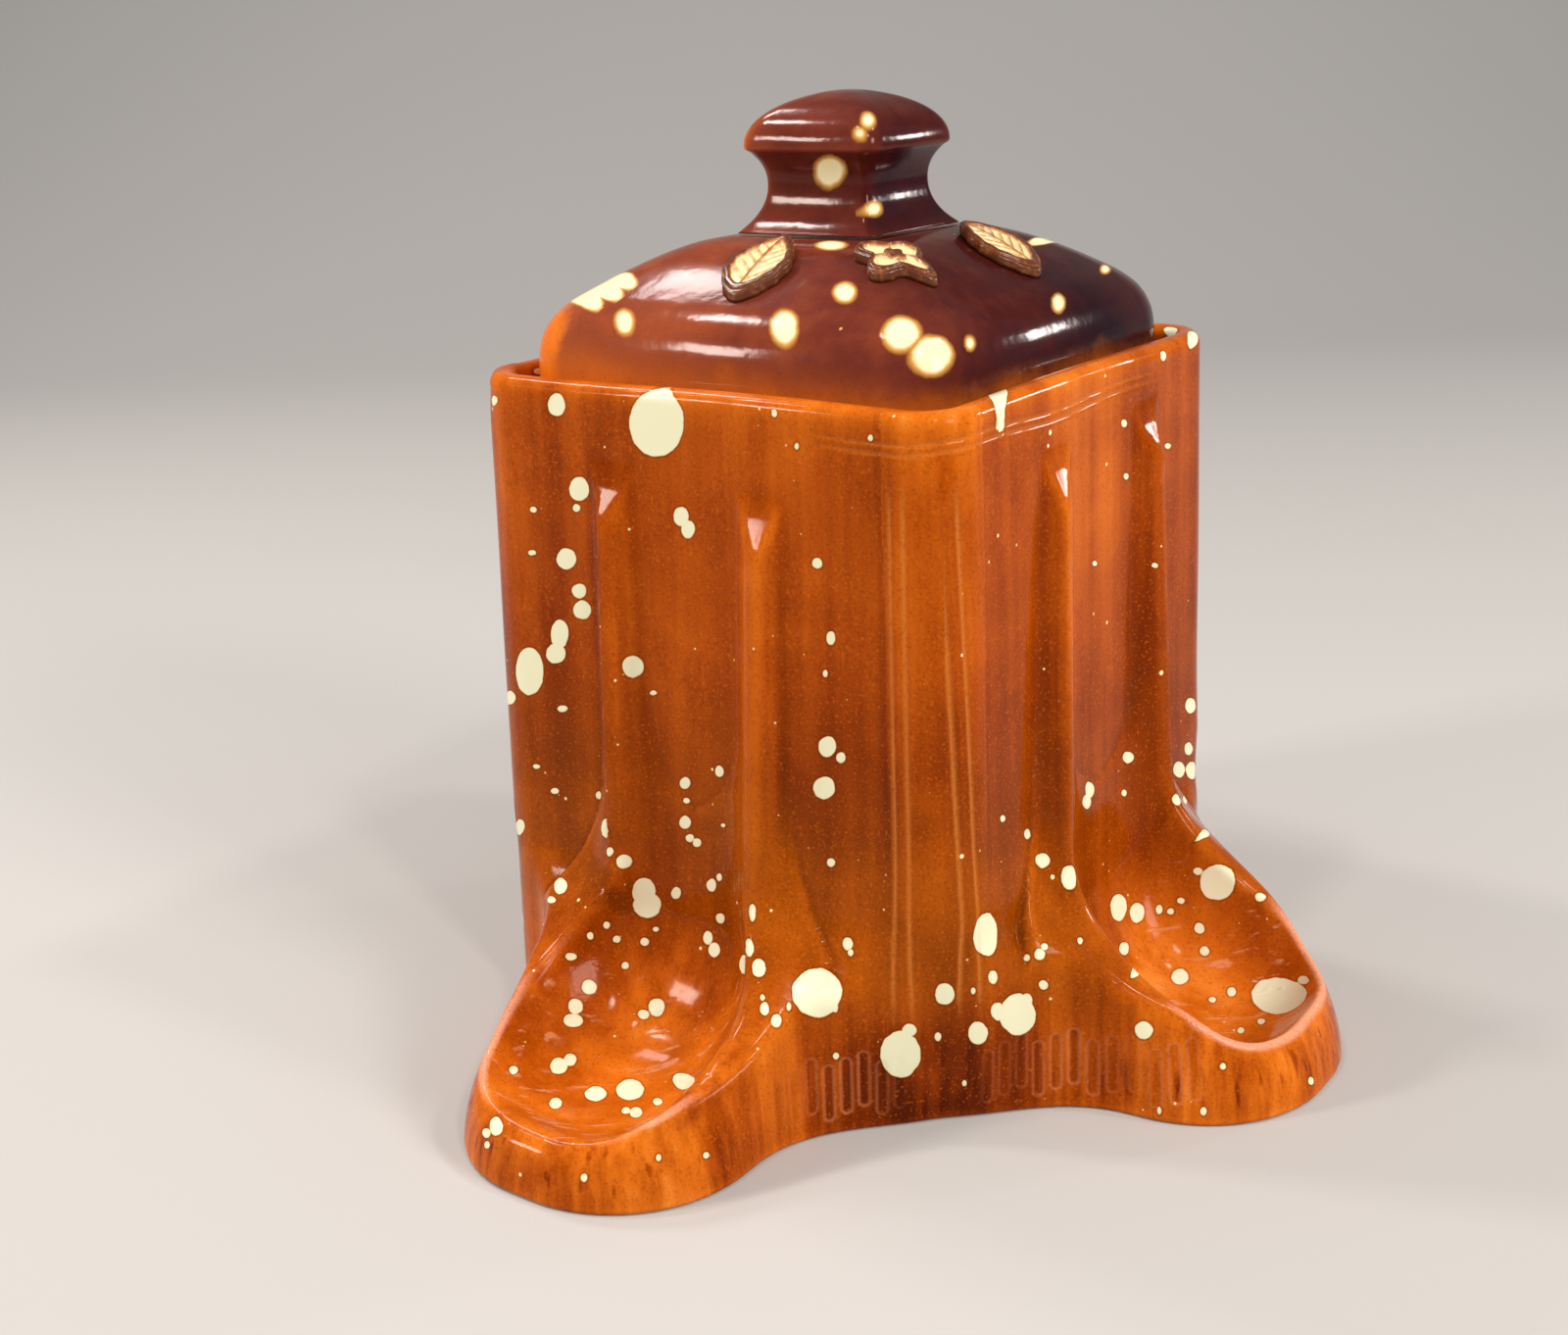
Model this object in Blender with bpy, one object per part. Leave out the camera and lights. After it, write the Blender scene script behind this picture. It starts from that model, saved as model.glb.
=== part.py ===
"""Square lidded stoneware crock with two spoon rests.

The crock is one casting: four walls, a skirt at the foot, and a spoon rest in front of two
neighbouring walls. A ledge luted inside the mouth carries a hollow domed lid with a hollow
square knob and three applied reliefs. Metres, +Z up, the crock's axis on Z, its base on Z = 0,
one spoon rest towards -Y and the other towards +X.
"""

import math
from dataclasses import dataclass

import bmesh
import bpy
import numpy as np

# Crock
RIM_HEIGHT = 0.150
RIM_WIDTH = 0.1206
BASE_WIDTH = 0.1250
RIM_CORNER_RADIUS = 0.012
BASE_CORNER_RADIUS = 0.0145
CORNER_FADE_HEIGHT = 0.040
WALL = 0.0060
FLOOR = 0.0080
INNER_FILLET = 0.004
INNER_CORNER_RADIUS = 0.006
RIM_ROUND = 0.0014
BASE_ROUND = 0.0005

# Spoon rests, measured from the wall
FRONT_REST_LENGTH = 0.0622
RIGHT_REST_LENGTH = 0.0545
REST_HALF_WIDTH = 0.0330
REST_NOSE_RADIUS = 0.0243
REST_FILLET = 0.015
REST_DRAFT = 0.08
SKIRT_HEIGHT = 0.034
SHOULDER_LOW = 0.0105
SHOULDER_RISE = 0.0235
SHOULDER_DECAY = 0.027

# The lip of a spoon rest falls away from the wall, and so does the floor of its dish
LIP_HEIGHT = 0.0125
LIP_RISE_NEAR = 0.040
FRONT_LIP_RISE_FAR = 0.130
RIGHT_LIP_RISE_FAR = 0.100
LIP_DECAY = 0.015
LIP_BLEND_WIDTH = 0.010
LIP_INSET = 0.0022
DISH_FLOOR = 0.0075
DISH_RISE = 0.028
DISH_DECAY = 0.008
DISH_ROUND_START = 0.028
DISH_POWER = 2.4

# Rails that run down the wall, from a drop below the rim into the lip of each spoon rest
RAIL_HEIGHT = 0.0046
RAIL_CREST_HALF = 0.0022
RAIL_FLANK = 0.0080
RAIL_TOP_OFFSET = 0.0190
RAIL_FOOT_OFFSET = 0.0235
RAIL_FOOT_LEVEL = 0.030
FRONT_RAIL_DROP = 0.0235
RIGHT_RAIL_DROP = 0.0160
RAIL_TOP_SLANT = 0.0070
CHANNEL_FLOOR = 0.0005

# Lid ledge, lid and knob
FIT_GAP = 0.0003
LEDGE_WIDTH = 0.0052
LEDGE_THICKNESS = 0.0050
LEDGE_DEPTH = 0.0074
LID_CLEARANCE = 0.0015
LID_CORNER_RADIUS = 0.0130
LID_RISE = 0.0326
LID_SHELL = 0.0052
KNOB_HEIGHT = 0.0290
KNOB_FOOT_HALF = 0.0180
KNOB_NECK_HALF = 0.0132
KNOB_CAP_HALF = 0.0172
KNOB_CORNER_RADIUS = 0.0022
KNOB_CAP_CORNER_RADIUS = 0.0040
KNOB_SHELL = 0.0046
KNOB_BORE_HALF = 0.0080

# Reliefs on the lid, each set in from the lid's edge
RELIEF_THICKNESS = 0.0024
RELIEF_LENGTH = 0.0185
RELIEF_WIDTH = 0.0150
RELIEF_BORDER = 0.24
RELIEF_FIELD_DROP = 0.0009
RELIEF_FRONT_SHIFT = 0.0010
RELIEF_FRONT_INSET = 0.0183
RELIEF_CORNER_INSET_RIGHT = 0.0228
RELIEF_CORNER_INSET_FRONT = 0.0243
RELIEF_RIGHT_SHIFT = 0.0070
RELIEF_RIGHT_INSET = 0.0193

# Mesh fineness
MARK_GAP = 0.0004
CORNER_STEPS = 5
FILLET_STEPS = 4
DISH_STEPS = 8
DISH_SECTIONS = 10
DISH_OVERSHOOT = 1.05

GLAZE_AMBER = (0.36, 0.13, 0.035, 1.0)
GLAZE_DARK = (0.12, 0.045, 0.03, 1.0)
GLAZE_CREAM = (0.80, 0.70, 0.48, 1.0)
CLAY_BARE = (0.55, 0.42, 0.30, 1.0)


@dataclass(frozen=True)
class Rest:
    """Sizes in which one spoon rest differs from the other.

    Attributes:
        length: Reach of the skirt from the wall at the base.
        rail_top: Height at which the rails end.
        rise_far: How high the lip sweeps up the wall on the side away from the shared corner.
    """

    length: float
    rail_top: float
    rise_far: float


REST_LENGTH_MOST = max(FRONT_REST_LENGTH, RIGHT_REST_LENGTH)
FRONT_REST = Rest(FRONT_REST_LENGTH, RIM_HEIGHT - FRONT_RAIL_DROP, FRONT_LIP_RISE_FAR)
RIGHT_REST = Rest(RIGHT_REST_LENGTH, RIM_HEIGHT - RIGHT_RAIL_DROP, RIGHT_LIP_RISE_FAR)


def clear_scene():
    """Remove every object of the startup scene."""
    for piece in list(bpy.data.objects):
        bpy.data.objects.remove(piece, do_unlink=True)


def make_material(name, colour, roughness):
    """Make one Principled material.

    Args:
        name: Material name.
        colour: Base colour as four numbers.
        roughness: Surface roughness.

    Returns:
        The new material.
    """
    material = bpy.data.materials.new(name)
    material.use_nodes = True
    shader = material.node_tree.nodes["Principled BSDF"]
    shader.inputs["Base Color"].default_value = colour
    shader.inputs["Roughness"].default_value = roughness
    return material


def add_object(name, bm, material):
    """Turn a bmesh into a named object with outward faces.

    Args:
        name: Object name.
        bm: The bmesh, freed here.
        material: Material of the whole object, or None for a cutter.

    Returns:
        The new object.
    """
    bmesh.ops.recalc_face_normals(bm, faces=bm.faces)
    mesh = bpy.data.meshes.new(name)
    bm.to_mesh(mesh)
    bm.free()
    if material is not None:
        mesh.materials.append(material)
    piece = bpy.data.objects.new(name, mesh)
    bpy.context.scene.collection.objects.link(piece)
    return piece


def loft(name, rings, material, closed=False):
    """Skin a row of rings that have equal numbers of points.

    Args:
        name: Object name.
        rings: Rings of points in order.
        material: Material of the piece, or None.
        closed: Whether the last ring joins the first, or both ends are capped.

    Returns:
        The new object.
    """
    bm = bmesh.new()
    loops = [[bm.verts.new(point) for point in ring] for ring in rings]
    pairs = list(zip(loops[:-1], loops[1:]))
    if closed:
        pairs.append((loops[-1], loops[0]))
    else:
        bm.faces.new(loops[0])
        bm.faces.new(loops[-1])
    for low, high in pairs:
        count = len(low)
        for index in range(count):
            after = (index + 1) % count
            bm.faces.new((low[index], low[after], high[after], high[index]))
    return add_object(name, bm, material)


def cut(piece, cutter):
    """Cut one object out of another and keep the cutter hidden.

    Args:
        piece: Object that keeps what is left.
        cutter: Object that is taken away.
    """
    cutter.display_type = "WIRE"
    cutter.hide_render = True
    modifier = piece.modifiers.new(cutter.name, "BOOLEAN")
    modifier.operation = "DIFFERENCE"
    modifier.solver = "EXACT"
    modifier.object = cutter


def rounded_square(half, radius, height, steps=CORNER_STEPS):
    """List the points of a rounded square, anticlockwise from above.

    Args:
        half: Half the width across the flats.
        radius: Corner radius.
        height: Height of the ring.
        steps: Segments in each corner.

    Returns:
        Points as tuples.
    """
    points = []
    for quarter in range(4):
        turn = quarter * math.pi / 2.0
        for step in range(steps + 1):
            angle = step / steps * math.pi / 2.0
            x = half - radius + radius * math.cos(angle)
            y = half - radius + radius * math.sin(angle)
            points.append((x * math.cos(turn) - y * math.sin(turn),
                           x * math.sin(turn) + y * math.cos(turn), height))
    return points


def wall_half(height):
    """Half the crock's outer width at a height."""
    return (BASE_WIDTH + (RIM_WIDTH - BASE_WIDTH) * height / RIM_HEIGHT) / 2.0


def wall_radius(height):
    """Outer corner radius at a height: the foot is rounder than the rim."""
    fade = min(max(1.0 - height / CORNER_FADE_HEIGHT, 0.0), 1.0)
    return RIM_CORNER_RADIUS + (BASE_CORNER_RADIUS - RIM_CORNER_RADIUS) * fade ** 1.5


def lip_rise(rest, across):
    """How high the lip sweeps up, from its far side to the side by the shared corner."""
    share = 0.5 + 0.5 * math.tanh(across / LIP_BLEND_WIDTH)
    return rest.rise_far + (LIP_RISE_NEAR - rest.rise_far) * share


def sweep(rest, across, share):
    """Sizes of the curve that sweeps from the wall down into the dish or along its lip.

    Args:
        rest: The spoon rest.
        across: Distance from the rest's centre line, positive towards the shared corner.
        share: 0 in the middle of the dish, 1 on its lip.

    Returns:
        Level it settles at, rise above that at the wall, decay length and standing height.
    """
    level = DISH_FLOOR + (LIP_HEIGHT - DISH_FLOOR) * share
    rise = DISH_RISE + (lip_rise(rest, across) - DISH_RISE) * share
    decay = DISH_DECAY + (LIP_DECAY - DISH_DECAY) * share
    stand = CHANNEL_FLOOR + (RAIL_HEIGHT - CHANNEL_FLOOR) * share
    return level, rise, decay, stand


def sweep_out(sizes, height):
    """Distance of a sweep from the wall at a height."""
    level, rise, decay, stand = sizes
    curve = decay * math.log(max(rise / max(height - level, 1.0e-6), 1.0))
    return (stand ** 3.0 + curve ** 3.0) ** (1.0 / 3.0)


def sweep_height(sizes, out):
    """Height of a sweep at a distance from the wall."""
    level, rise, decay, stand = sizes
    curve = max(out ** 3.0 - stand ** 3.0, 0.0) ** (1.0 / 3.0)
    return level + rise * math.exp(-curve / decay)


def rail_offset(rest, height):
    """Distance from a face's centre line to a rail's crest at a height."""
    share = (height - RAIL_FOOT_LEVEL) / (rest.rail_top - RAIL_FOOT_LEVEL)
    share = min(max(share, 0.0), 1.0)
    return RAIL_FOOT_OFFSET + (RAIL_TOP_OFFSET - RAIL_FOOT_OFFSET) * share


def crest_reach(rest, across, height):
    """How far the rail and lip stand out from the wall at a height."""
    ramp = min(max((rest.rail_top - height) / RAIL_TOP_SLANT, 0.0), 1.0)
    return sweep_out(sweep(rest, across, 1.0), height) * ramp


def rest_half_width(height):
    """Half the width of a spoon rest's skirt at a height."""
    return REST_HALF_WIDTH - REST_DRAFT * min(height, SKIRT_HEIGHT)


def rest_profile(rest, height, shrink):
    """Outline of one spoon rest as distances across and out from the wall.

    Args:
        rest: The spoon rest.
        height: Height of the outline.
        shrink: Amount the outline is drawn in for a rounded edge.

    Returns:
        Pairs of across and out, from one fillet to the other.
    """
    half = rest_half_width(height) - shrink
    length = rest.length - REST_DRAFT * height - shrink
    nose = REST_NOSE_RADIUS
    rise = max(height - SHOULDER_LOW, 1.0e-6)
    shoulder = SHOULDER_DECAY * math.log(SHOULDER_RISE / rise)
    crest = rail_offset(rest, height)
    marks = [0.0, 0.3 * crest, 0.6 * crest, crest - RAIL_CREST_HALF, crest, crest + RAIL_CREST_HALF]
    flank_end = min(crest + RAIL_CREST_HALF + RAIL_FLANK, half - 0.001)
    for share in (0.33, 0.67, 1.0):
        marks.append(marks[5] + (flank_end - marks[5]) * share)
    marks.append(half - MARK_GAP)

    def reach(across):
        """Reach of the skirt, lip or rail at one place across the face."""
        size = abs(across)
        bulge = max(size - (half - nose), 0.0)
        plan = length - nose + math.sqrt(max(nose * nose - bulge * bulge, 0.0))
        slope = (size - crest - RAIL_CREST_HALF) / (flank_end - crest - RAIL_CREST_HALF)
        flank = 1.0 - min(max(slope, 0.0), 1.0)
        ridge = crest_reach(rest, across, height) * flank
        return max(min(plan, max(shoulder, ridge)), 0.0)

    fillet = min(REST_FILLET, reach(half))
    spread = min(REST_FILLET, wall_half(height) - shrink - wall_radius(height) - half - MARK_GAP)
    tail = []
    for step in range(FILLET_STEPS + 1):
        angle = step / FILLET_STEPS * math.pi / 2.0
        tail.append((half + spread * (1.0 - math.cos(angle)), fillet * (1.0 - math.sin(angle))))
    side_near = [(across, reach(across)) for across in marks] + tail
    side_far = [(-across, reach(-across)) for across in marks[1:]]
    side_far += [(-across, out) for across, out in tail]
    return side_far[::-1] + side_near


def crock_ring(height, shrink=0.0):
    """One level of the crock's outer surface, spoon rests filled in."""
    half = wall_half(height) - shrink
    radius = wall_radius(height)
    points = []
    right = rest_profile(RIGHT_REST, height, shrink)
    points += [(half + out, -across, height) for across, out in right[::-1]]
    corners = rounded_square(half, radius, height)
    per_corner = CORNER_STEPS + 1
    points += corners[:per_corner * 3]
    front = rest_profile(FRONT_REST, height, shrink)
    points += [(across, -half - out, height) for across, out in front]
    points += corners[per_corner * 3:]
    return points


def dish_cutter(name, rest, place):
    """Make the scoop that opens one spoon rest and the channel above it.

    Args:
        name: Object name.
        rest: The spoon rest.
        place: Function from across, out and height to a point.

    Returns:
        The cutter.
    """
    roof = RIM_HEIGHT / 2.0
    reach = rest.length - LIP_INSET
    rings = []
    for step in range(2 * DISH_SECTIONS + 1):
        down = min(step / DISH_SECTIONS, 1.0)
        along = max(step / DISH_SECTIONS - 1.0, 0.0)
        ring = []
        for column in range(-DISH_STEPS, DISH_STEPS + 1):
            side = DISH_OVERSHOOT * column / DISH_STEPS
            across = side * RAIL_FOOT_OFFSET
            sizes = sweep(rest, across, abs(side) ** DISH_POWER)
            knee = sizes[0] + sizes[2]
            height = knee + (RIM_HEIGHT - knee) * (1.0 - down) ** 2.0
            out = sweep_out(sizes, height)
            half = rail_offset(rest, height) - RAIL_CREST_HALF
            if along > 0.0:
                out = out + (reach - out) * math.sin(along * math.pi / 2.0 * 0.97)
                bulge = max(out - DISH_ROUND_START, 0.0) / (reach - DISH_ROUND_START)
                share = abs(side) ** DISH_POWER + bulge ** DISH_POWER
                height = sweep_height(sweep(rest, across, share), out)
                half = half * (1.0 - bulge ** DISH_POWER) ** (1.0 / DISH_POWER)
            ring.append(place(side * half, out, height))
        ceiling = max(RIM_HEIGHT + (roof - RIM_HEIGHT) * down, roof)
        over = REST_LENGTH_MOST * (0.75 + along)
        half = DISH_OVERSHOOT * RAIL_FOOT_OFFSET * (1.0 - 0.6 * along)
        ring.append(place(half, over, ceiling))
        ring.append(place(-half, over, ceiling))
        rings.append(ring)
    return loft(name, rings, None)


def build_crock(material):
    """Make the crock casting with its cavity and both spoon rests."""
    levels = [(0.0, BASE_ROUND), (BASE_ROUND, 0.0)]
    rises = [0.005, 0.009, 0.012, 0.0138, 0.0152, 0.017, 0.0195, 0.0225, 0.026, 0.030, 0.035, 0.041]
    rises += [0.050, 0.062, 0.085]
    for rest in (FRONT_REST, RIGHT_REST):
        top = rest.rail_top
        rises += [top - RAIL_TOP_SLANT, top - RAIL_TOP_SLANT / 2.0, top]
    levels += [(rise, 0.0) for rise in sorted(rises)]
    levels += [(RIM_HEIGHT - RIM_ROUND, 0.0), (RIM_HEIGHT - RIM_ROUND * 0.3, RIM_ROUND * 0.3)]
    levels.append((RIM_HEIGHT, RIM_ROUND))
    crock = loft("crock_body", [crock_ring(rise, shrink) for rise, shrink in levels], material)

    inside = []
    for rise, draw_in in ((FLOOR, INNER_FILLET), (FLOOR + INNER_FILLET * 0.3, INNER_FILLET * 0.3),
                          (FLOOR + INNER_FILLET, 0.0), (RIM_HEIGHT, 0.0), (RIM_HEIGHT + 0.01, 0.0)):
        half = inner_half(min(rise, RIM_HEIGHT)) - draw_in
        inside.append(rounded_square(half, INNER_CORNER_RADIUS, rise))
    cut(crock, loft("cavity_cutter", inside, None))

    def on_front(across, out, height):
        """Place a point of the front spoon rest."""
        return (across, -wall_half(height) - out, height)

    def on_right(across, out, height):
        """Place a point of the right spoon rest, the front one's mirror image."""
        return (wall_half(height) + out, -across, height)

    cut(crock, dish_cutter("front_dish_cutter", FRONT_REST, on_front))
    cut(crock, dish_cutter("right_dish_cutter", RIGHT_REST, on_right))
    return crock


def inner_half(height):
    """Half the cavity's width at a height."""
    return wall_half(height) - WALL


def ledge_top():
    """Height of the face that the lid sits on."""
    return RIM_HEIGHT - LEDGE_DEPTH


def lid_half():
    """Half the lid's width at its widest."""
    return inner_half(RIM_HEIGHT) - LID_CLEARANCE


def build_ledge(material):
    """Make the clay strip luted round the inside of the mouth."""
    high = ledge_top()
    low = high - LEDGE_THICKNESS
    outer = INNER_CORNER_RADIUS - FIT_GAP
    inner = INNER_CORNER_RADIUS + 0.001
    rings = [rounded_square(inner_half(low) - FIT_GAP, outer, low),
             rounded_square(inner_half(high) - FIT_GAP, outer, high),
             rounded_square(inner_half(high) - LEDGE_WIDTH, inner, high),
             rounded_square(inner_half(low) - LEDGE_WIDTH, inner, low)]
    return loft("lid_ledge", rings, material, closed=True)


def lid_profile():
    """Outer profile of the lid: pairs of half width and height, from the bottom edge up."""
    wide = lid_half()
    low = ledge_top() + FIT_GAP
    crown = low + LID_RISE
    side = [(wide - 0.0013, low), (wide - 0.0002, low + 0.0013), (wide, low + 0.0072),
            (wide - 0.0007, low + 0.0126), (wide - 0.0027, low + 0.0170),
            (wide - 0.0060, low + 0.0204)]
    inset = KNOB_FOOT_HALF + 0.0015
    start_half, start_level = side[-1]
    for share in (0.16, 0.33, 0.55, 0.78):
        half = start_half + (inset - start_half) * share
        level = start_level + (crown - start_level) * (1.0 - (1.0 - share) ** 1.55)
        side.append((half, level))
    side.append((inset, crown))
    return side


def lid_radius(half):
    """Corner radius of the lid at a half width."""
    return LID_CORNER_RADIUS * half / lid_half()


def lid_height(x, y):
    """Height of the lid's outer surface over a point."""
    big = max(abs(x), abs(y))
    small = min(abs(x), abs(y))
    ratio = LID_CORNER_RADIUS / lid_half()
    flat = 1.0 - ratio
    half = big
    if small > flat * big:
        a = 2.0 * flat * flat - ratio * ratio
        b = -2.0 * flat * (big + small)
        c = big * big + small * small
        half = (-b - math.sqrt(max(b * b - 4.0 * a * c, 0.0))) / (2.0 * a)
    profile = lid_profile()[::-1]
    return float(np.interp(half, [pair[0] for pair in profile], [pair[1] for pair in profile]))


def build_lid(material):
    """Make the hollow lid with a vent hole under the knob."""
    outer = lid_profile()
    low = outer[0][1]
    crown = outer[-1][1]
    rings = [rounded_square(half, lid_radius(half), level) for half, level in outer]
    rings.append(rounded_square(KNOB_BORE_HALF, KNOB_CORNER_RADIUS, crown))
    rings.append(rounded_square(KNOB_BORE_HALF, KNOB_CORNER_RADIUS, crown - LID_SHELL))
    for half, level in outer[:3:-1]:
        inner = max(half - LID_SHELL * 0.75, KNOB_BORE_HALF + 0.002)
        rings.append(rounded_square(inner, lid_radius(inner), level - LID_SHELL))
    foot = lid_half() - LID_SHELL
    rings.append(rounded_square(foot, lid_radius(foot), low + 0.0040))
    rings.append(rounded_square(foot + 0.0004, lid_radius(foot), low))
    return loft("lid", rings, material, closed=True)


def build_knob(material):
    """Make the hollow knob: flared foot, waisted neck and pillow-shaped cap."""
    low = ledge_top() + FIT_GAP + LID_RISE + FIT_GAP
    top = low + KNOB_HEIGHT
    waist = low + 0.0100
    brim = low + 0.0168
    rings = []
    for share in (0.0, 0.3, 0.55, 0.78, 0.93, 1.0):
        angle = share * math.pi / 2.0
        half = KNOB_CAP_HALF * math.sin(angle) ** 0.9 if share > 0.0 else KNOB_CAP_HALF * 0.18
        level = brim + 0.0010 + (top - brim - 0.0010) * math.cos(angle) ** 0.8
        corner = min(KNOB_CAP_CORNER_RADIUS, half * 0.6)
        rings.append(rounded_square(half, corner, level))
    rings.append(rounded_square(KNOB_CAP_HALF - 0.0008, KNOB_CAP_CORNER_RADIUS, brim))
    for share in (0.25, 0.6, 1.0):
        drop = KNOB_CAP_HALF - 0.0008 - KNOB_NECK_HALF
        half = KNOB_NECK_HALF + drop * (1.0 - share) ** 2.0
        rings.append(rounded_square(half, KNOB_CORNER_RADIUS, brim + (waist - brim) * share))
    for share in (0.35, 0.65, 0.88, 1.0):
        half = KNOB_NECK_HALF + (KNOB_FOOT_HALF - KNOB_NECK_HALF) * share ** 2.2
        rings.append(rounded_square(half, KNOB_CORNER_RADIUS, waist + (low - waist) * share))
    rings.append(rounded_square(KNOB_BORE_HALF, KNOB_CORNER_RADIUS, low))
    rings.append(rounded_square(KNOB_NECK_HALF - KNOB_SHELL, KNOB_CORNER_RADIUS, waist))
    rings.append(rounded_square(KNOB_NECK_HALF - KNOB_SHELL + 0.001, KNOB_CORNER_RADIUS, brim))
    rings.append(rounded_square(KNOB_NECK_HALF - KNOB_SHELL - 0.002, KNOB_CORNER_RADIUS, top - KNOB_SHELL))
    return loft("lid_knob", rings, material)


def leaf_outline(angle):
    """Reach of a pointed leaf, as shares of its half length and half width."""
    along = math.cos(angle)
    across = math.sin(angle)
    return along, across * (1.0 - 0.35 * along * along) * (1.0 - 0.18 * along)


def blossom_outline(angle):
    """Reach of a four-petalled flower, as shares of its half size."""
    reach = 0.80 + 0.20 * math.cos(4.0 * angle)
    return reach * math.cos(angle), reach * math.sin(angle)


def build_relief(name, material, centre, heading, outline):
    """Make one applied relief with a raised border and a sunk field.

    Args:
        name: Object name.
        material: Material of the relief.
        centre: Place on the lid from above.
        heading: Turn of the relief about Z, radians.
        outline: Function from an angle to shares along and across.

    Returns:
        The new object.
    """
    count = 32
    lift = FIT_GAP
    body = RELIEF_THICKNESS
    layers = [(0.0, lift), (0.5, lift), (1.0, lift), (1.0, lift + body * 0.5),
              (1.0 - RELIEF_BORDER * 0.35, lift + body), (1.0 - RELIEF_BORDER, lift + body),
              (1.0 - RELIEF_BORDER * 1.5, lift + body - RELIEF_FIELD_DROP),
              (0.0, lift + body - RELIEF_FIELD_DROP)]

    def place(shape, scale, rise):
        """Put one point of the relief on the lid."""
        along = shape[0] * scale * RELIEF_LENGTH / 2.0
        across = shape[1] * scale * RELIEF_WIDTH / 2.0
        x = centre[0] + along * math.cos(heading) - across * math.sin(heading)
        y = centre[1] + along * math.sin(heading) + across * math.cos(heading)
        return (x, y, lid_height(x, y) + rise)

    shapes = [outline(index / count * 2.0 * math.pi) for index in range(count)]
    bm = bmesh.new()
    under = bm.verts.new(place((0.0, 0.0), 0.0, layers[0][1]))
    over = bm.verts.new(place((0.0, 0.0), 0.0, layers[-1][1]))
    loops = []
    for scale, rise in layers[1:-1]:
        loops.append([bm.verts.new(place(shape, scale, rise)) for shape in shapes])
    for low, high in zip(loops[:-1], loops[1:]):
        for index in range(count):
            after = (index + 1) % count
            bm.faces.new((low[index], low[after], high[after], high[index]))
    for index in range(count):
        after = (index + 1) % count
        bm.faces.new((under, loops[0][after], loops[0][index]))
        bm.faces.new((over, loops[-1][index], loops[-1][after]))
    return add_object(name, bm, material)


def main():
    """Build every piece."""
    clear_scene()
    build_crock(make_material("crock_glaze", GLAZE_AMBER, 0.18))
    build_ledge(make_material("ledge_clay", CLAY_BARE, 0.60))
    build_lid(make_material("lid_glaze", GLAZE_DARK, 0.15))
    build_knob(make_material("knob_glaze", GLAZE_DARK, 0.15))
    edge = lid_half()
    front_at = (RELIEF_FRONT_SHIFT, RELIEF_FRONT_INSET - edge)
    corner_at = (edge - RELIEF_CORNER_INSET_RIGHT, RELIEF_CORNER_INSET_FRONT - edge)
    right_at = (edge - RELIEF_RIGHT_INSET, RELIEF_RIGHT_SHIFT)
    reliefs = [("relief_front", front_at, math.radians(90.0), leaf_outline),
               ("relief_corner", corner_at, math.radians(0.0), blossom_outline),
               ("relief_right", right_at, math.radians(180.0), leaf_outline)]
    for name, centre, heading, outline in reliefs:
        build_relief(name, make_material(name + "_glaze", GLAZE_CREAM, 0.2), centre, heading, outline)


main()
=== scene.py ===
"""Looks of a square lidded stoneware crock with two spoon rests, in a spattered brown glaze.

The crock is skinned from a distance field, so that walls, rails, dishes and lips run into each
other as in a slip casting. The lid, its knob, the ledge and the reliefs are lofted. Metres, +Z up,
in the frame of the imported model. The glazes reckon in millimetres.
"""

import logging
import math
from dataclasses import dataclass, field
from enum import Enum
from typing import Callable, Union

import bpy
import numpy as np
from mathutils import Matrix, Vector
from mathutils.bvhtree import BVHTree


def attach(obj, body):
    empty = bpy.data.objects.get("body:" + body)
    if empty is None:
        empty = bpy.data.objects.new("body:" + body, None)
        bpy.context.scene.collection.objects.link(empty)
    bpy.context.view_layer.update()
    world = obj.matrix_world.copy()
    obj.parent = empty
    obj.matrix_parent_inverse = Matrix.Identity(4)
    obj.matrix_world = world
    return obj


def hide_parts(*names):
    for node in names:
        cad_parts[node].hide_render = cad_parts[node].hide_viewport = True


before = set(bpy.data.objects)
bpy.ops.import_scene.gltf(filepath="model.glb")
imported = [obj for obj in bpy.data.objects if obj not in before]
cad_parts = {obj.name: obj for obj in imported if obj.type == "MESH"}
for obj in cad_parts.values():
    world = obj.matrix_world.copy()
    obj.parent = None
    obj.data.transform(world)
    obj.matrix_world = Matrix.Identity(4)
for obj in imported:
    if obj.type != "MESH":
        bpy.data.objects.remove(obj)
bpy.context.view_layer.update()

LOG = logging.getLogger("crock")
MM = 0.001
SEED = 20260
FULL_TURN = 2.0 * math.pi
ROOT_TWO = math.sqrt(2.0)

Array = np.ndarray
Numbers = Union[float, Array]
Span = tuple[float, float]
Spans = tuple[Span, ...]
Triple = tuple[float, float, float]
Colour = tuple[float, float, float, float]
Drops = tuple[tuple[float, float, float, float], ...]


def part_way(start: Numbers, end: Numbers, share: Numbers) -> Numbers:
    """Value at a share of the way from one value to another."""
    return start + (end - start) * share


def smooth_max(first: Numbers, second: Numbers, blend: Numbers) -> Array:
    """Intersect two distance fields, with the edge rounded over a width of blend."""
    overlap = np.maximum(blend - np.abs(first - second), 0.0) / blend
    return np.maximum(first, second) + overlap * overlap * blend * 0.25


def round_union(first: Numbers, second: Numbers, radius: Numbers) -> Array:
    """Join two distance fields with a concave fillet of a radius."""
    near = np.hypot(np.maximum(radius - first, 0.0), np.maximum(radius - second, 0.0))
    return np.maximum(radius, np.minimum(first, second)) - near


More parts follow.
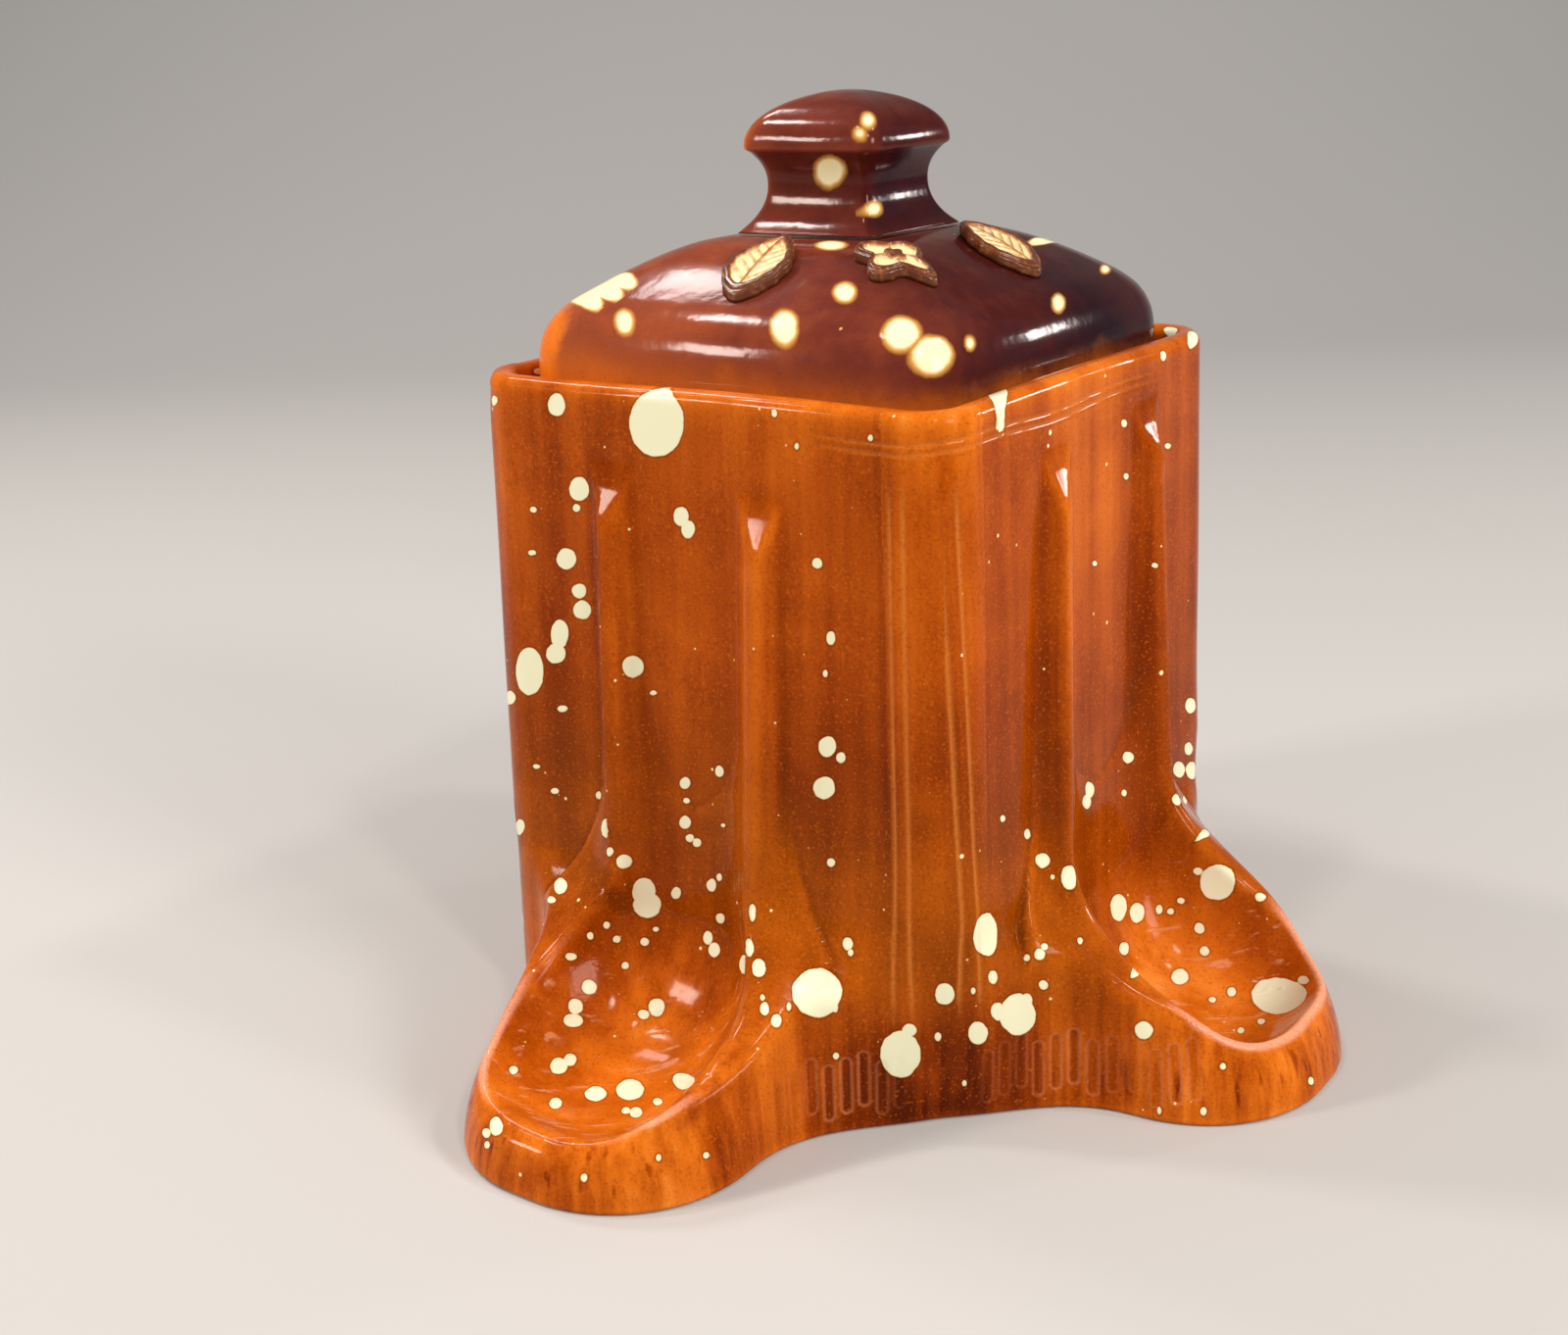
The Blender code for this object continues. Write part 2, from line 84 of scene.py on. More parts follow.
def corner_distance(aside: Array, ahead: Array, radius: Numbers) -> Array:
    """Distance to a rounded corner, from the distances past where its rounding starts."""
    beyond = np.hypot(np.maximum(aside, 0.0), np.maximum(ahead, 0.0))
    return beyond + np.minimum(np.maximum(aside, ahead), 0.0) - radius


def square_distance(points: Array, half: Numbers, radius: Numbers) -> Array:
    """Distance from rows of points to a rounded square of a half width, negative inside."""
    flat = half - radius
    return corner_distance(np.abs(points[:, 0]) - flat, np.abs(points[:, 1]) - flat, radius)


def eased(low: Numbers, high: Numbers, value: Numbers) -> Array:
    """Ease from 0 where a value is at low to 1 where it is at high."""
    share = np.clip((value - low) / (high - low), 0.0, 1.0)
    return share * share * (3.0 - 2.0 * share)


def bell(off: Array, width: float) -> Array:
    """Bell curve: 1 in its middle, falling off over a width."""
    return np.exp(-(off / width) ** 2)


@dataclass(frozen=True)
class HandWarp:
    """Slow unevenness of a hand-finished casting: seeded waves that only ever draw it in."""

    seed: int
    length: float
    depth: float
    waves: int = 7
    shortest: float = 0.45

    def __call__(self, points: Array) -> Array:
        """Depth at points.

        Args:
            points: Rows of X, Y and Z.

        Returns:
            Depths from 0 to the greatest depth.
        """
        x, y, z = points.T
        draw = np.random.default_rng(self.seed)
        total = np.zeros_like(x)
        for _ in range(self.waves):
            heading = draw.normal(size=3)
            length = self.length * draw.uniform(self.shortest, 1.0)
            heading *= FULL_TURN / length / np.linalg.norm(heading)
            phase = draw.uniform(0.0, FULL_TURN)
            total = total + np.sin(x * heading[0] + y * heading[1] + z * heading[2] + phase)
        return self.depth * (0.5 + 0.5 * np.tanh(total / math.sqrt(self.waves)))


@dataclass
class Skin:
    """A mesh as arrays: points, quads, caps that close an end, and normals unless the faces give them."""

    points: Array
    quads: Array
    normals: Union[Array, None] = None
    caps: list[list[int]] = field(default_factory=list)

    ROUNDS = 4
    CREASE = 0.9

    def around(self, values: Array) -> Array:
        """Average of each vertex's neighbours.

        Args:
            values: One number or row for each vertex.

        Returns:
            The averages.
        """
        rows = values.reshape(len(values), -1)
        total = np.zeros_like(rows)
        count = np.zeros(len(rows))
        for step in (1, -1):
            start = self.quads.ravel()
            end = np.roll(self.quads, step, axis=1).ravel()
            count += np.bincount(start, minlength=len(rows))
            for number in range(rows.shape[1]):
                total[:, number] += np.bincount(start, rows[end, number], len(rows))
        return (total / np.maximum(count, 1.0)[:, None]).reshape(values.shape)

    def face_vectors(self) -> Array:
        """Each face's normal, as long as twice its area."""
        corners = self.points[self.quads]
        return np.cross(corners[:, 2] - corners[:, 0], corners[:, 3] - corners[:, 1])

    def face_normals(self) -> Array:
        """Vertex normals averaged from the faces.

        Returns:
            Rows of unit normals.
        """
        face = self.face_vectors()
        total = np.zeros_like(self.points)
        for number in range(3):
            for corner in range(4):
                total[:, number] += np.bincount(self.quads[:, corner], face[:, number], len(total))
        return total / np.maximum(np.linalg.norm(total, axis=1), 1.0e-15)[:, None]

    def folds(self, radius: float) -> Array:
        """How sharply the surface bends: above 0 over ridges, below 0 in hollows.

        Args:
            radius: Bend radius that counts as sharp.

        Returns:
            Shares from -1 to 1.
        """
        middles = self.around(self.points)
        off = middles - self.points
        squares = np.sum(self.points * self.points, 1)
        spacing = self.around(squares) - 2.0 * np.sum(middles * self.points, 1) + squares
        bend = -4.0 * np.sum(off * self.face_normals(), 1) / np.maximum(spacing, 1.0e-9)
        for _ in range(self.ROUNDS):
            bend = 0.5 * (bend + self.around(bend))
        return np.tanh(bend * radius)

    def mend(self, stray: Array) -> None:
        """Draw stray points to their neighbours, and give creased points the faces' normals.

        Args:
            stray: Which points didn't settle.
        """
        for _ in range(self.ROUNDS):
            self.points[stray] = self.around(self.points)[stray]
        faces = self.face_normals()
        off = np.sum(faces * self.normals, 1) < self.CREASE
        self.normals[off] = faces[off]

    def sink(self, warp: HandWarp, low: float, fade: float) -> None:
        """Draw the surface in by a warp, which fades out at the foot."""
        depth = warp(self.points) * eased(0.0, fade, self.points[:, 2] - low)
        self.points -= self.face_normals() * depth[:, None]


class FieldMesher:
    """Skins the zero level of a distance field on a grid of uneven steps."""

    BLOCK = 6
    CHUNK = 400_000
    NUDGE = 0.02 * MM
    NEAR = 0.9
    SETTLING = 3
    LONGEST_MOVE = 0.6 * MM
    LEAST_SLOPE = 0.05
    STRAY = 0.05 * MM
    CORNERS = [(i, j, k) for i in (0, 1) for j in (0, 1) for k in (0, 1)]

    def __init__(self, axes: list[Array], distance: Callable[[Array], Array]) -> None:
        """Keep the grid values along X, Y and Z, and the field, which is negative inside."""
        self.axes = axes
        self.distance = distance

    @staticmethod
    def graded(low: float, high: float, step: float, *bands: Triple) -> Array:
        """Space grid values, finer inside the bands.

        Args:
            low: First value.
            high: Last value.
            step: Step outside the bands.
            bands: Start, end and step of each finer stretch.

        Returns:
            Rising grid values.
        """
        values = [low]
        while values[-1] < high:
            here = values[-1]
            finer = [fine for start, end, fine in bands if start <= here < end]
            values.append(here + min(finer + [step]))
        return np.array(values)

    def _values_at(self, points: Array) -> Array:
        """Field at rows of points, worked out in chunks."""
        starts = range(0, len(points), self.CHUNK)
        return np.concatenate([self.distance(points[start:start + self.CHUNK]) for start in starts])

    def _corners(self, values: Array) -> list[Array]:
        """Grid values at each of the eight corners of every cell."""
        wide, deep, tall = (size - 1 for size in values.shape)
        return [values[i:i + wide, j:j + deep, k:k + tall] for i, j, k in self.CORNERS]

    def _crossed(self, inside: Array) -> Array:
        """Which cells have corners both inside and outside."""
        count = sum(corner.astype(np.uint8) for corner in self._corners(inside))
        return (count > 0) & (count < len(self.CORNERS))

    def _sample(self) -> Array:
        """Field on the grid, exact in blocks near the surface.

        Returns:
            Values of every grid point.
        """
        marks = [np.append(np.arange(0, len(axis) - 1, self.BLOCK), len(axis) - 1) for axis in self.axes]
        coarse = [axis[mark] for axis, mark in zip(self.axes, marks)]
        mesh = np.meshgrid(*coarse, indexing="ij")
        rough = self._values_at(np.stack([part.ravel() for part in mesh], 1)).reshape(mesh[0].shape)
        least = np.minimum.reduce([np.abs(corner) for corner in self._corners(rough)])
        spans = np.meshgrid(*[np.diff(values) for values in coarse], indexing="ij")
        reach = np.sqrt(sum(span * span for span in spans))
        near = (least < self.NEAR * reach) | self._crossed(rough < 0.0)
        values = rough[:-1, :-1, :-1].astype(np.float32)
        for number, mark in enumerate(marks):
            counts = np.diff(mark)
            counts[-1] += 1
            near = np.repeat(near, counts, axis=number)
            values = np.repeat(values, counts, axis=number)
        for number in range(3):
            near = near | np.roll(near, 1, axis=number)
        places = np.nonzero(near)
        points = np.stack([axis[place] for axis, place in zip(self.axes, places)], 1)
        values[places] = self._values_at(points)
        return values

    def _slopes(self, points: Array, here: Array) -> Array:
        """Gradient of the field at rows of points, from its values there."""
        moved = [self._values_at(points + step) for step in np.eye(3) * self.NUDGE]
        return np.stack([(value - here) / self.NUDGE for value in moved], 1)

    def _starts(self, values: Array, cells: tuple[Array, ...]) -> Array:
        """Mean of the places where the surface crosses the edges of each cell.

        Args:
            values: The field on the grid.
            cells: Cells that the surface passes through.

        Returns:
            Rows of points.
        """
        total = np.zeros((len(cells[0]), 3))
        hits = np.zeros(len(cells[0]))
        for axis in range(3):
            for first in (corner for corner in self.CORNERS if not corner[axis]):
                second = first[:axis] + (1,) + first[axis + 1:]
                ends = [[cell + step for cell, step in zip(cells, corner)] for corner in (first, second)]
                low, high = (values[tuple(end)] for end in ends)
                crossed = (low < 0.0) != (high < 0.0)
                share = np.where(crossed, low / np.where(crossed, low - high, 1.0), 0.0)
                for number, grid in enumerate(self.axes):
                    start, end = (grid[places[number]] for places in ends)
                    total[:, number] += np.where(crossed, part_way(start, end, share), 0.0)
                hits += crossed
        return total / hits[:, None]

    @staticmethod
    def _faces(inside: Array, numbers: Array) -> Array:
        """Faces round the grid edges that cross the surface.

        Args:
            inside: Which grid points lie inside.
            numbers: Number of each cell's vertex.

        Returns:
            Four vertex numbers a row.
        """
        quads = []
        for axis in range(3):
            one, two = [number for number in range(3) if number != axis]
            low = np.delete(inside, -1, axis)
            places = np.nonzero(low != np.delete(inside, 0, axis))
            around = []
            for step_one, step_two in ((1, 1), (0, 1), (0, 0), (1, 0)):
                cell = list(places)
                cell[one] = places[one] - step_one
                cell[two] = places[two] - step_two
                around.append(numbers[tuple(cell)])
            quad = np.stack(around, 1)
            turned = low[places] == (axis == 1)
            quad[turned] = quad[turned][:, ::-1]
            quads.append(quad)
        return np.concatenate(quads)

    def _settle(self, points: Array, quads: Array) -> Array:
        """Draw points onto the zero level, evening them out in between.

        Args:
            points: Rows of X, Y and Z.
            quads: The faces that they belong to.

        Returns:
            The settled points.
        """
        for turn in range(self.SETTLING):
            here = self._values_at(points)
            slopes = self._slopes(points, here)
            steep = np.maximum(np.sum(slopes * slopes, 1), self.LEAST_SLOPE)
            move = -(here / steep)[:, None] * slopes
            length = np.maximum(np.linalg.norm(move, axis=1), 1.0e-12)
            points = points + move * np.minimum(self.LONGEST_MOVE / length, 1.0)[:, None]
            if turn < self.SETTLING - 1:
                normals = slopes / np.sqrt(steep)[:, None]
                drift = Skin(points, quads).around(points) - points
                drift -= np.sum(drift * normals, 1)[:, None] * normals
                points = points + 0.5 * drift
        return points

    def skin(self) -> Skin:
        """Make the surface.

        Returns:
            The surface with the field's own normals.
        """
        values = self._sample()
        inside = values < 0.0
        cells = np.nonzero(self._crossed(inside))
        numbers = np.full([size - 1 for size in inside.shape], -1, np.int64)
        numbers[cells] = np.arange(len(cells[0]))
        quads = self._faces(inside, numbers)
        points = self._settle(self._starts(values, cells), quads)
        here = self._values_at(points)
        normals = self._slopes(points, here)
        normals /= np.maximum(np.linalg.norm(normals, axis=1), 1.0e-9)[:, None]
        skin = Skin(points, quads, normals)
        skin.mend(np.abs(here) > self.STRAY)
        return skin


@dataclass(frozen=True)
class PictureCamera:
    """The camera that took the picture, and where its pixels look."""

    place: Triple = (0.243709, -0.361648, 0.218385)
    yaw: float = 0.634
    pitch: float = 0.317
    roll: float = 0.038
    focal: float = 2000.0
    wide: int = 1600
    tall: int = 1362
    sensor: float = 36.0
    clip_start: float = 0.02

    def axes(self) -> tuple[Vector, Vector, Vector]:
        """Right, down and forward in the crock's frame.

        Returns:
            Unit vectors.
        """
        level = math.cos(self.pitch)
        ahead = Vector((-math.sin(self.yaw) * level, math.cos(self.yaw) * level, -math.sin(self.pitch)))
        flat = Vector((math.cos(self.yaw), math.sin(self.yaw), 0.0))
        low = ahead.cross(flat)
        right = math.cos(self.roll) * flat + math.sin(self.roll) * low
        down = math.cos(self.roll) * low - math.sin(self.roll) * flat
        return right, down, ahead

    def ray(self, u: float, v: float) -> Vector:
        """Direction in which a picture point looks.

        Args:
            u: Pixels from the left.
            v: Pixels from the top.

        Returns:
            A unit vector.
        """
        right, down, ahead = self.axes()
        aside = (u - self.wide / 2.0) / self.focal
        below = (v - self.tall / 2.0) / self.focal
        return (ahead + right * aside + down * below).normalized()

    def build(self) -> None:
        """Add the camera to the scene and look through it."""
        data = bpy.data.cameras.new("picture_camera")
        data.sensor_width = self.sensor
        data.lens = self.focal / self.wide * self.sensor
        data.clip_start = self.clip_start
        camera = bpy.data.objects.new("picture_camera", data)
        right, down, ahead = self.axes()
        turn = Matrix((right, -down, -ahead)).transposed().to_4x4()
        camera.matrix_world = Matrix.Translation(self.place) @ turn
        bpy.context.scene.collection.objects.link(camera)
        bpy.context.scene.camera = camera


@dataclass(frozen=True)
class Splash:
    """One drop of cream slip: its place on a surface, and half its width and height as vectors."""

    centre: Array
    normal: Array
    along: Array
    aside: Array

    @property
    def size(self) -> float:
        """Mean radius."""
        return math.sqrt(np.linalg.norm(self.along) * np.linalg.norm(self.aside))

    @property
    def reach(self) -> float:
        """Greatest radius."""
        return max(np.linalg.norm(self.along), np.linalg.norm(self.aside))

    def spread(self, off: Array) -> Array:
        """Place of points in the drop's own plane, with its edge at its mean radius.

        Args:
            off: Points from the drop's centre.

        Returns:
            Millimetres across and up, and the mean radius.
        """
        first, second = self.along @ self.along, self.aside @ self.aside
        both = self.along @ self.aside
        one, two = off @ self.along, off @ self.aside
        scale = first * second - both * both
        across = (one * second - two * both) / scale
        up = (two * first - one * both) / scale
        return np.stack([across, up, np.ones(len(off))], 1) * self.size / MM


class Spatter:
    """Cream slip thrown over a surface: seen drops by picture place, others at random.

    Each vertex near a drop keeps its place in that drop's plane, so the shader can draw a crisp
    edge however wide the faces are. Drops that come close are kept on different layers.
    """

    LAYERS = 6
    FAR = (0.0, 0.0, -60.0)
    MARGIN = 2.4 * MM
    SHALLOW = 0.12
    STRETCH = 2.6
    BEHIND = -0.3
    RARITY = 2.4
    LONGEST = 1.45

    def __init__(self, skin: Skin, camera: PictureCamera, seed: int) -> None:
        """Keep the surface to throw at.

        Args:
            skin: The surface.
            camera: The camera by which seen drops are placed.
            seed: Seed of the random drops.
        """
        self.skin = skin
        self.camera = camera
        self.draw = np.random.default_rng(seed)
        self.normals = skin.face_normals() if skin.normals is None else skin.normals
        self.tree = BVHTree.FromPolygons(skin.points.tolist(), skin.quads.tolist())
        self.splashes: list[Splash] = []

    def see(self, drops: Drops) -> None:
        """Add drops by picture place and size in pixels.

        Args:
            drops: Pixels from the left and top, width and height.
        """
        eye = Vector(self.camera.place)
        for u, v, wide, tall in drops:
            hit, normal, _, _ = self.tree.ray_cast(eye, self.camera.ray(u, v))
            if hit is None:
                LOG.info("drop at %d, %d misses", u, v)
                continue
            along = self._reach(hit, normal, (u + wide / 2.0, v))
            aside = self._reach(hit, normal, (u, v + tall / 2.0))
            self.splashes.append(Splash(np.array(hit), np.array(normal), along, aside))

    def _reach(self, hit: Vector, normal: Vector, edge: Span) -> Array:
        """Vector in the surface from a drop's middle to its edge.

        Args:
            hit: The drop's middle.
            normal: Direction of the surface there.
            edge: Picture place of its edge.

        Returns:
            The vector, not much longer than it looks in the picture.
        """
        eye = Vector(self.camera.place)
        aim = self.camera.ray(*edge)
        seen = eye + aim * (hit - eye).length - hit
        facing = aim.dot(normal)
        if facing > -self.SHALLOW:
            flat = seen - normal * seen.dot(normal)
        else:
            flat = eye + aim * ((hit - eye).dot(normal) / facing) - hit
        return np.array(flat * min(self.STRETCH * seen.length / flat.length, 1.0))

    def throw(self, count: int, sizes: Span, where: Callable[[Array, Array], Array]) -> None:
        """Add drops at random.

        Args:
            count: How many.
            sizes: Smallest and largest radius; small ones are far more common.
            where: Which faces may take one, from their places and normals.
        """
        middles = self.skin.points[self.skin.quads].mean(1)
        area = np.linalg.norm(self.skin.face_vectors(), axis=1)
        facing = self.normals[self.skin.quads].mean(1)
        weight = area * where(middles, facing)
        for index in self.draw.choice(len(middles), count, p=weight / weight.sum()):
            radius = sizes[0] * (sizes[1] / sizes[0]) ** (self.draw.uniform() ** self.RARITY)
            normal = Vector(facing[index]).normalized()
            first = normal.orthogonal().normalized()
            turn = self.draw.uniform(0.0, FULL_TURN)
            along = first * math.cos(turn) + normal.cross(first) * math.sin(turn)
            long = np.array(along) * radius * self.draw.uniform(1.0, self.LONGEST)
            short = np.array(normal.cross(along)) * radius
            self.splashes.append(Splash(middles[index], np.array(normal), long, short))

    def layers(self) -> dict[str, Array]:
        """Lay the drops out over the vertices.

        Returns:
            Rows for each vertex by the layer's name.
        """
        points = self.skin.points
        owned = np.zeros((self.LAYERS, len(points)), bool)
        rows = np.tile(np.array(self.FAR), (self.LAYERS, len(points), 1))
        for splash in sorted(self.splashes, key=lambda each: -each.size):
            off = points - splash.centre
            clear = splash.reach + 2.0 * self.MARGIN
            near = np.flatnonzero(np.max(np.abs(off), axis=1) < clear)
            near = near[self.normals[near] @ splash.normal > self.BEHIND]
            off = off[near]
            free = [layer for layer in range(self.LAYERS) if not owned[layer, near].any()]
            if not free:
                LOG.info("a drop of %.1f mm finds no free layer", splash.size / MM)
                continue
            own = np.linalg.norm(off, axis=1) < splash.reach + self.MARGIN
            owned[free[0], near[own]] = True
            rows[free[0], near[own]] = splash.spread(off[own])
        return {f"drops_{layer}": rows[layer] for layer in range(self.LAYERS)}


@dataclass(frozen=True)
class Slip:
    """The cream slip on one piece: drops seen in the picture, and some thrown at its unseen sides."""

    seed: int
    seen: Drops = ()
    count: int = 0
    sizes: Span = (0.8 * MM, 4 * MM)


class Piece:
    """One node of the model and the body it moves with: built as a mesh, then dressed in its finish."""

    node: str
    fold_radius: float
    body = "lid"
    # The lean kept on the vertices; the lid and knob glaze darkens faces that lean along +X as painted shade
    lean = ("aside", 0)
    slip: Union[Slip, None] = None

    def skin(self) -> Skin:
        """Shape of the piece."""
        raise NotImplementedError

    def kept(self) -> dict[str, Array]:
        """Numbers that its vertices keep for the finish, by name: folds, and how far they face one way."""
        name, axis = self.lean
        return {"fold": self.shape.folds(self.fold_radius), name: self.shape.face_normals()[:, axis]}

    def unseen(self, places: Array, facing: Array) -> Array:
        """Which faces take random drops, from their middles and normals: 1 for those, or else 0."""
        raise NotImplementedError

    def build(self) -> None:
        """Make the mesh and put it on its body in the node's stead."""
        self.shape = self.skin()
        mesh = bpy.data.meshes.new(self.node)
        mesh.from_pydata(self.shape.points.tolist(), [], self.shape.quads.tolist() + self.shape.caps)
        mesh.polygons.foreach_set("use_smooth", np.ones(len(mesh.polygons), bool))
        if self.shape.normals is not None:
            mesh.normals_split_custom_set_from_vertices(self.shape.normals.tolist())
        mesh.update()
        self.piece = bpy.data.objects.new(f"{self.node}_looks", mesh)
        bpy.context.scene.collection.objects.link(self.piece)
        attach(self.piece, self.body)
        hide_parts(self.node)

    def dress(self, glaze: bpy.types.Material, camera: PictureCamera) -> None:
        """Glaze the piece and spatter it.

        Args:
            glaze: Its glaze.
            camera: Camera by which the seen drops are placed.
        """
        values = self.kept()
        if self.slip is not None:
            spatter = Spatter(self.shape, camera, self.slip.seed)
            spatter.see(self.slip.seen)
            if self.slip.count:
                spatter.throw(self.slip.count, self.slip.sizes, self.unseen)
            values.update(spatter.layers())
        for name, rows in values.items():
            kind, part = ("FLOAT", "value") if rows.ndim == 1 else ("FLOAT_VECTOR", "vector")
            attribute = self.piece.data.attributes.new(name, kind, "POINT")
            attribute.data.foreach_set(part, rows.astype(np.float32).ravel())
        self.piece.data.materials.append(glaze)


@dataclass(frozen=True)
class Lamp:
    """A soft square light aimed at the crock, some degrees round from the front and above the floor."""

    name: str
    turn: float
    lift: float
    size: float
    glow: float
    colour: Triple
    distance: float = 1.25
    aim: Triple = (0.01, -0.01, 0.09)

    def build(self) -> None:
        """Add the light to the scene."""
        turn, lift = math.radians(self.turn), math.radians(self.lift)
        away = Vector((math.sin(turn) * math.cos(lift), -math.cos(turn) * math.cos(lift), math.sin(lift)))
        data = bpy.data.lights.new(self.name, "AREA")
        data.shape = "SQUARE"
        data.size = self.size
        data.energy = self.glow * math.pi * self.size ** 2
        data.color = self.colour
        lamp = bpy.data.objects.new(self.name, data)
        lamp.location = Vector(self.aim) + away * self.distance
        lamp.rotation_euler = away.to_track_quat("Z", "Y").to_euler()
        bpy.context.scene.collection.objects.link(lamp)


def shade(*screen: int) -> Colour:
    """Linear colour of a screen colour, given as red, green and blue from 0 to 255."""
    parts = [part / 255.0 for part in screen]
    return *(part / 12.92 if part <= 0.04045 else ((part + 0.055) / 1.055) ** 2.4 for part in parts), 1.0


def operators(operation: str) -> tuple[Callable, Callable]:
    """Make an operator of shader values and its reflected form.

    Args:
        operation: What its Math node does.

    Returns:
        Both methods.
    """
    def forward(left: "Wire", right: "Value") -> "Wire":
        """Reckon with a shader value on the left."""
        return left.graph.math(operation, left, right)

    def reflected(right: "Wire", left: "Value") -> "Wire":
        """Reckon with a shader value on the right."""
        return right.graph.math(operation, left, right)

    return forward, reflected


class Wire:
    """A shader value that adds Math nodes when reckoned with."""

    def __init__(self, graph: "Graph", socket: bpy.types.NodeSocket) -> None:
        """Keep the graph and the socket that gives the value."""
        self.graph = graph
        self.socket = socket

    __add__, __radd__ = operators("ADD")
    __sub__, __rsub__ = operators("SUBTRACT")
    __mul__, __rmul__ = operators("MULTIPLY")
    __truediv__, __rtruediv__ = operators("DIVIDE")


Value = Union[Wire, float]
Shade = Union[Wire, Colour]


class Graph:
    """Nodes of one material."""

    RAGGED_LENGTH = 2.4
    RAGGED_DEPTH = 0.75

    def __init__(self, name: str) -> None:
        """Start an empty material.

        Args:
            name: The material's name.
        """
        self.material = bpy.data.materials.new(name)
        self.material.use_nodes = True
        self.tree = self.material.node_tree
        self.tree.nodes.clear()

    def node(self, kind: str, settings: dict, sockets: dict, output: Union[int, str] = 0) -> Wire:
        """Add a node.

        Args:
            kind: Its type.
            settings: Properties to set first; "stops" fills a colour ramp.
            sockets: Values or wires by input name or number.
            output: Name or number of the output to use.

        Returns:
            That output, or an empty wire if the node has none.
        """
        node = self.tree.nodes.new(kind)
        for name, value in settings.items():
            if name != "stops":
                setattr(node, name, value)
                continue
            ramp = node.color_ramp
            while len(ramp.elements) < len(value):
                ramp.elements.new(1.0)
            for element, (place, colour) in zip(ramp.elements, value):
                element.position = place
                element.color = colour
        for name, value in sockets.items():
            if isinstance(value, Wire):
                self.tree.links.new(value.socket, node.inputs[name])
            else:
                node.inputs[name].default_value = value
        return Wire(self, node.outputs[output] if len(node.outputs) else None)

    def math(self, operation: str, first: Value, second: Value = 0.0) -> Wire:
        """Reckon with one or two values."""
        return self.node("ShaderNodeMath", {"operation": operation}, {0: first, 1: second})

    def least(self, first: Value, second: Value) -> Wire:
        """The smaller of two values."""
        return self.math("MINIMUM", first, second)

    def most(self, first: Value, second: Value) -> Wire:
        """The larger of two values."""
        return self.math("MAXIMUM", first, second)

    def absolute(self, value: Value) -> Wire:
        """A value without its sign."""
        return self.math("ABSOLUTE", value)

    def ease(self, low: float, high: float, value: Value) -> Wire:
        """Ease from 0 to 1 between two values, which may fall."""
        return self.node("ShaderNodeMapRange", {"interpolation_type": "SMOOTHSTEP"},
                         {"Value": value, "From Min": low, "From Max": high})

    def within(self, spans: Spans, *values: Value) -> Wire:
        """Product of the eases of values, each over its own span."""
        first, *others = (self.ease(*span, value) for span, value in zip(spans, values))
        return math.prod(others, start=first)

    def mix(self, share: Value, first: Shade, second: Shade) -> Wire:
        """Mix two colours."""
        return self.node("ShaderNodeMix", {"data_type": "RGBA"}, {0: share, 6: first, 7: second}, 2)

    def ramp(self, value: Value, stops: list[tuple[float, Colour]]) -> Wire:
        """Colour of a value on a ramp."""
        return self.node("ShaderNodeValToRGB", {"stops": stops}, {"Fac": value})

    def place(self, stretch: Triple = (1.0, 1.0, 1.0)) -> Wire:
        """Place on the piece in millimetres, stretched along the axes."""
        sockets = {0: self.node("ShaderNodeTexCoord", {}, {}, "Object"),
                   1: tuple(part / MM for part in stretch)}
        return self.node("ShaderNodeVectorMath", {"operation": "MULTIPLY"}, sockets)

    def axis(self, vector: Wire, name: str) -> Wire:
        """One part of a vector."""
        return self.node("ShaderNodeSeparateXYZ", {}, {0: vector}, name)

    def parts(self, vector: Wire) -> tuple[Wire, ...]:
        """All three parts of a vector."""
        return tuple(self.axis(vector, name) for name in "XYZ")

    def noise(self, where: Wire, length: float, detail: float = 2.0, rough: float = 0.5) -> Wire:
        """Noise from -0.5 to 0.5 with a wave length in millimetres."""
        sockets = {"Vector": where, "Scale": 1.0 / length, "Detail": detail, "Roughness": rough}
        return self.node("ShaderNodeTexNoise", {"noise_dimensions": "3D"}, sockets) - 0.5

    def kept(self, name: str) -> Wire:
        """A value kept on the vertices."""
        return self.node("ShaderNodeAttribute", {"attribute_name": name}, {}, "Fac")

    def drops(self) -> Wire:
        """Distance from the nearest cream drop's ragged edge.

        Returns:
            Millimetres, negative inside.
        """
        nearest = None
        for layer in range(Spatter.LAYERS):
            spot = self.node("ShaderNodeAttribute", {"attribute_name": f"drops_{layer}"}, {}, "Vector")
            flat = self.node("ShaderNodeVectorMath", {"operation": "MULTIPLY"}, {0: spot, 1: (1.0, 1.0, 0.0)})
            length = self.node("ShaderNodeVectorMath", {"operation": "LENGTH"}, {0: flat}, "Value")
            edge = length - self.axis(spot, "Z")
            nearest = edge if nearest is None else self.least(nearest, edge)
        return nearest + self.noise(self.place(), self.RAGGED_LENGTH) * self.RAGGED_DEPTH

    def specks(self, pitch: float, largest: float, thinness: float) -> Wire:
        """Distance from the nearest fine speck's edge in millimetres, negative inside.

        Args:
            pitch: Mean distance between the specks' cells.
            largest: Greatest radius.
            thinness: How rare the larger ones are, as a power.

        Returns:
            The distance.
        """
        sockets = {"Vector": self.place(), "Scale": 1.0 / pitch}
        distance = self.node("ShaderNodeTexVoronoi", {}, sockets, "Distance") * pitch
        colour = self.node("ShaderNodeTexVoronoi", {}, sockets, "Color")
        lot = self.axis(colour, "X")
        return distance - largest * self.math("POWER", lot, thinness)

    def bump(self, height: Value, distance: float, strength: float) -> Wire:
        """Normal of a surface raised by a height; a height of 1 stands for the distance."""
        sockets = {"Height": height, "Distance": distance, "Strength": strength}
        return self.node("ShaderNodeBump", {}, sockets)

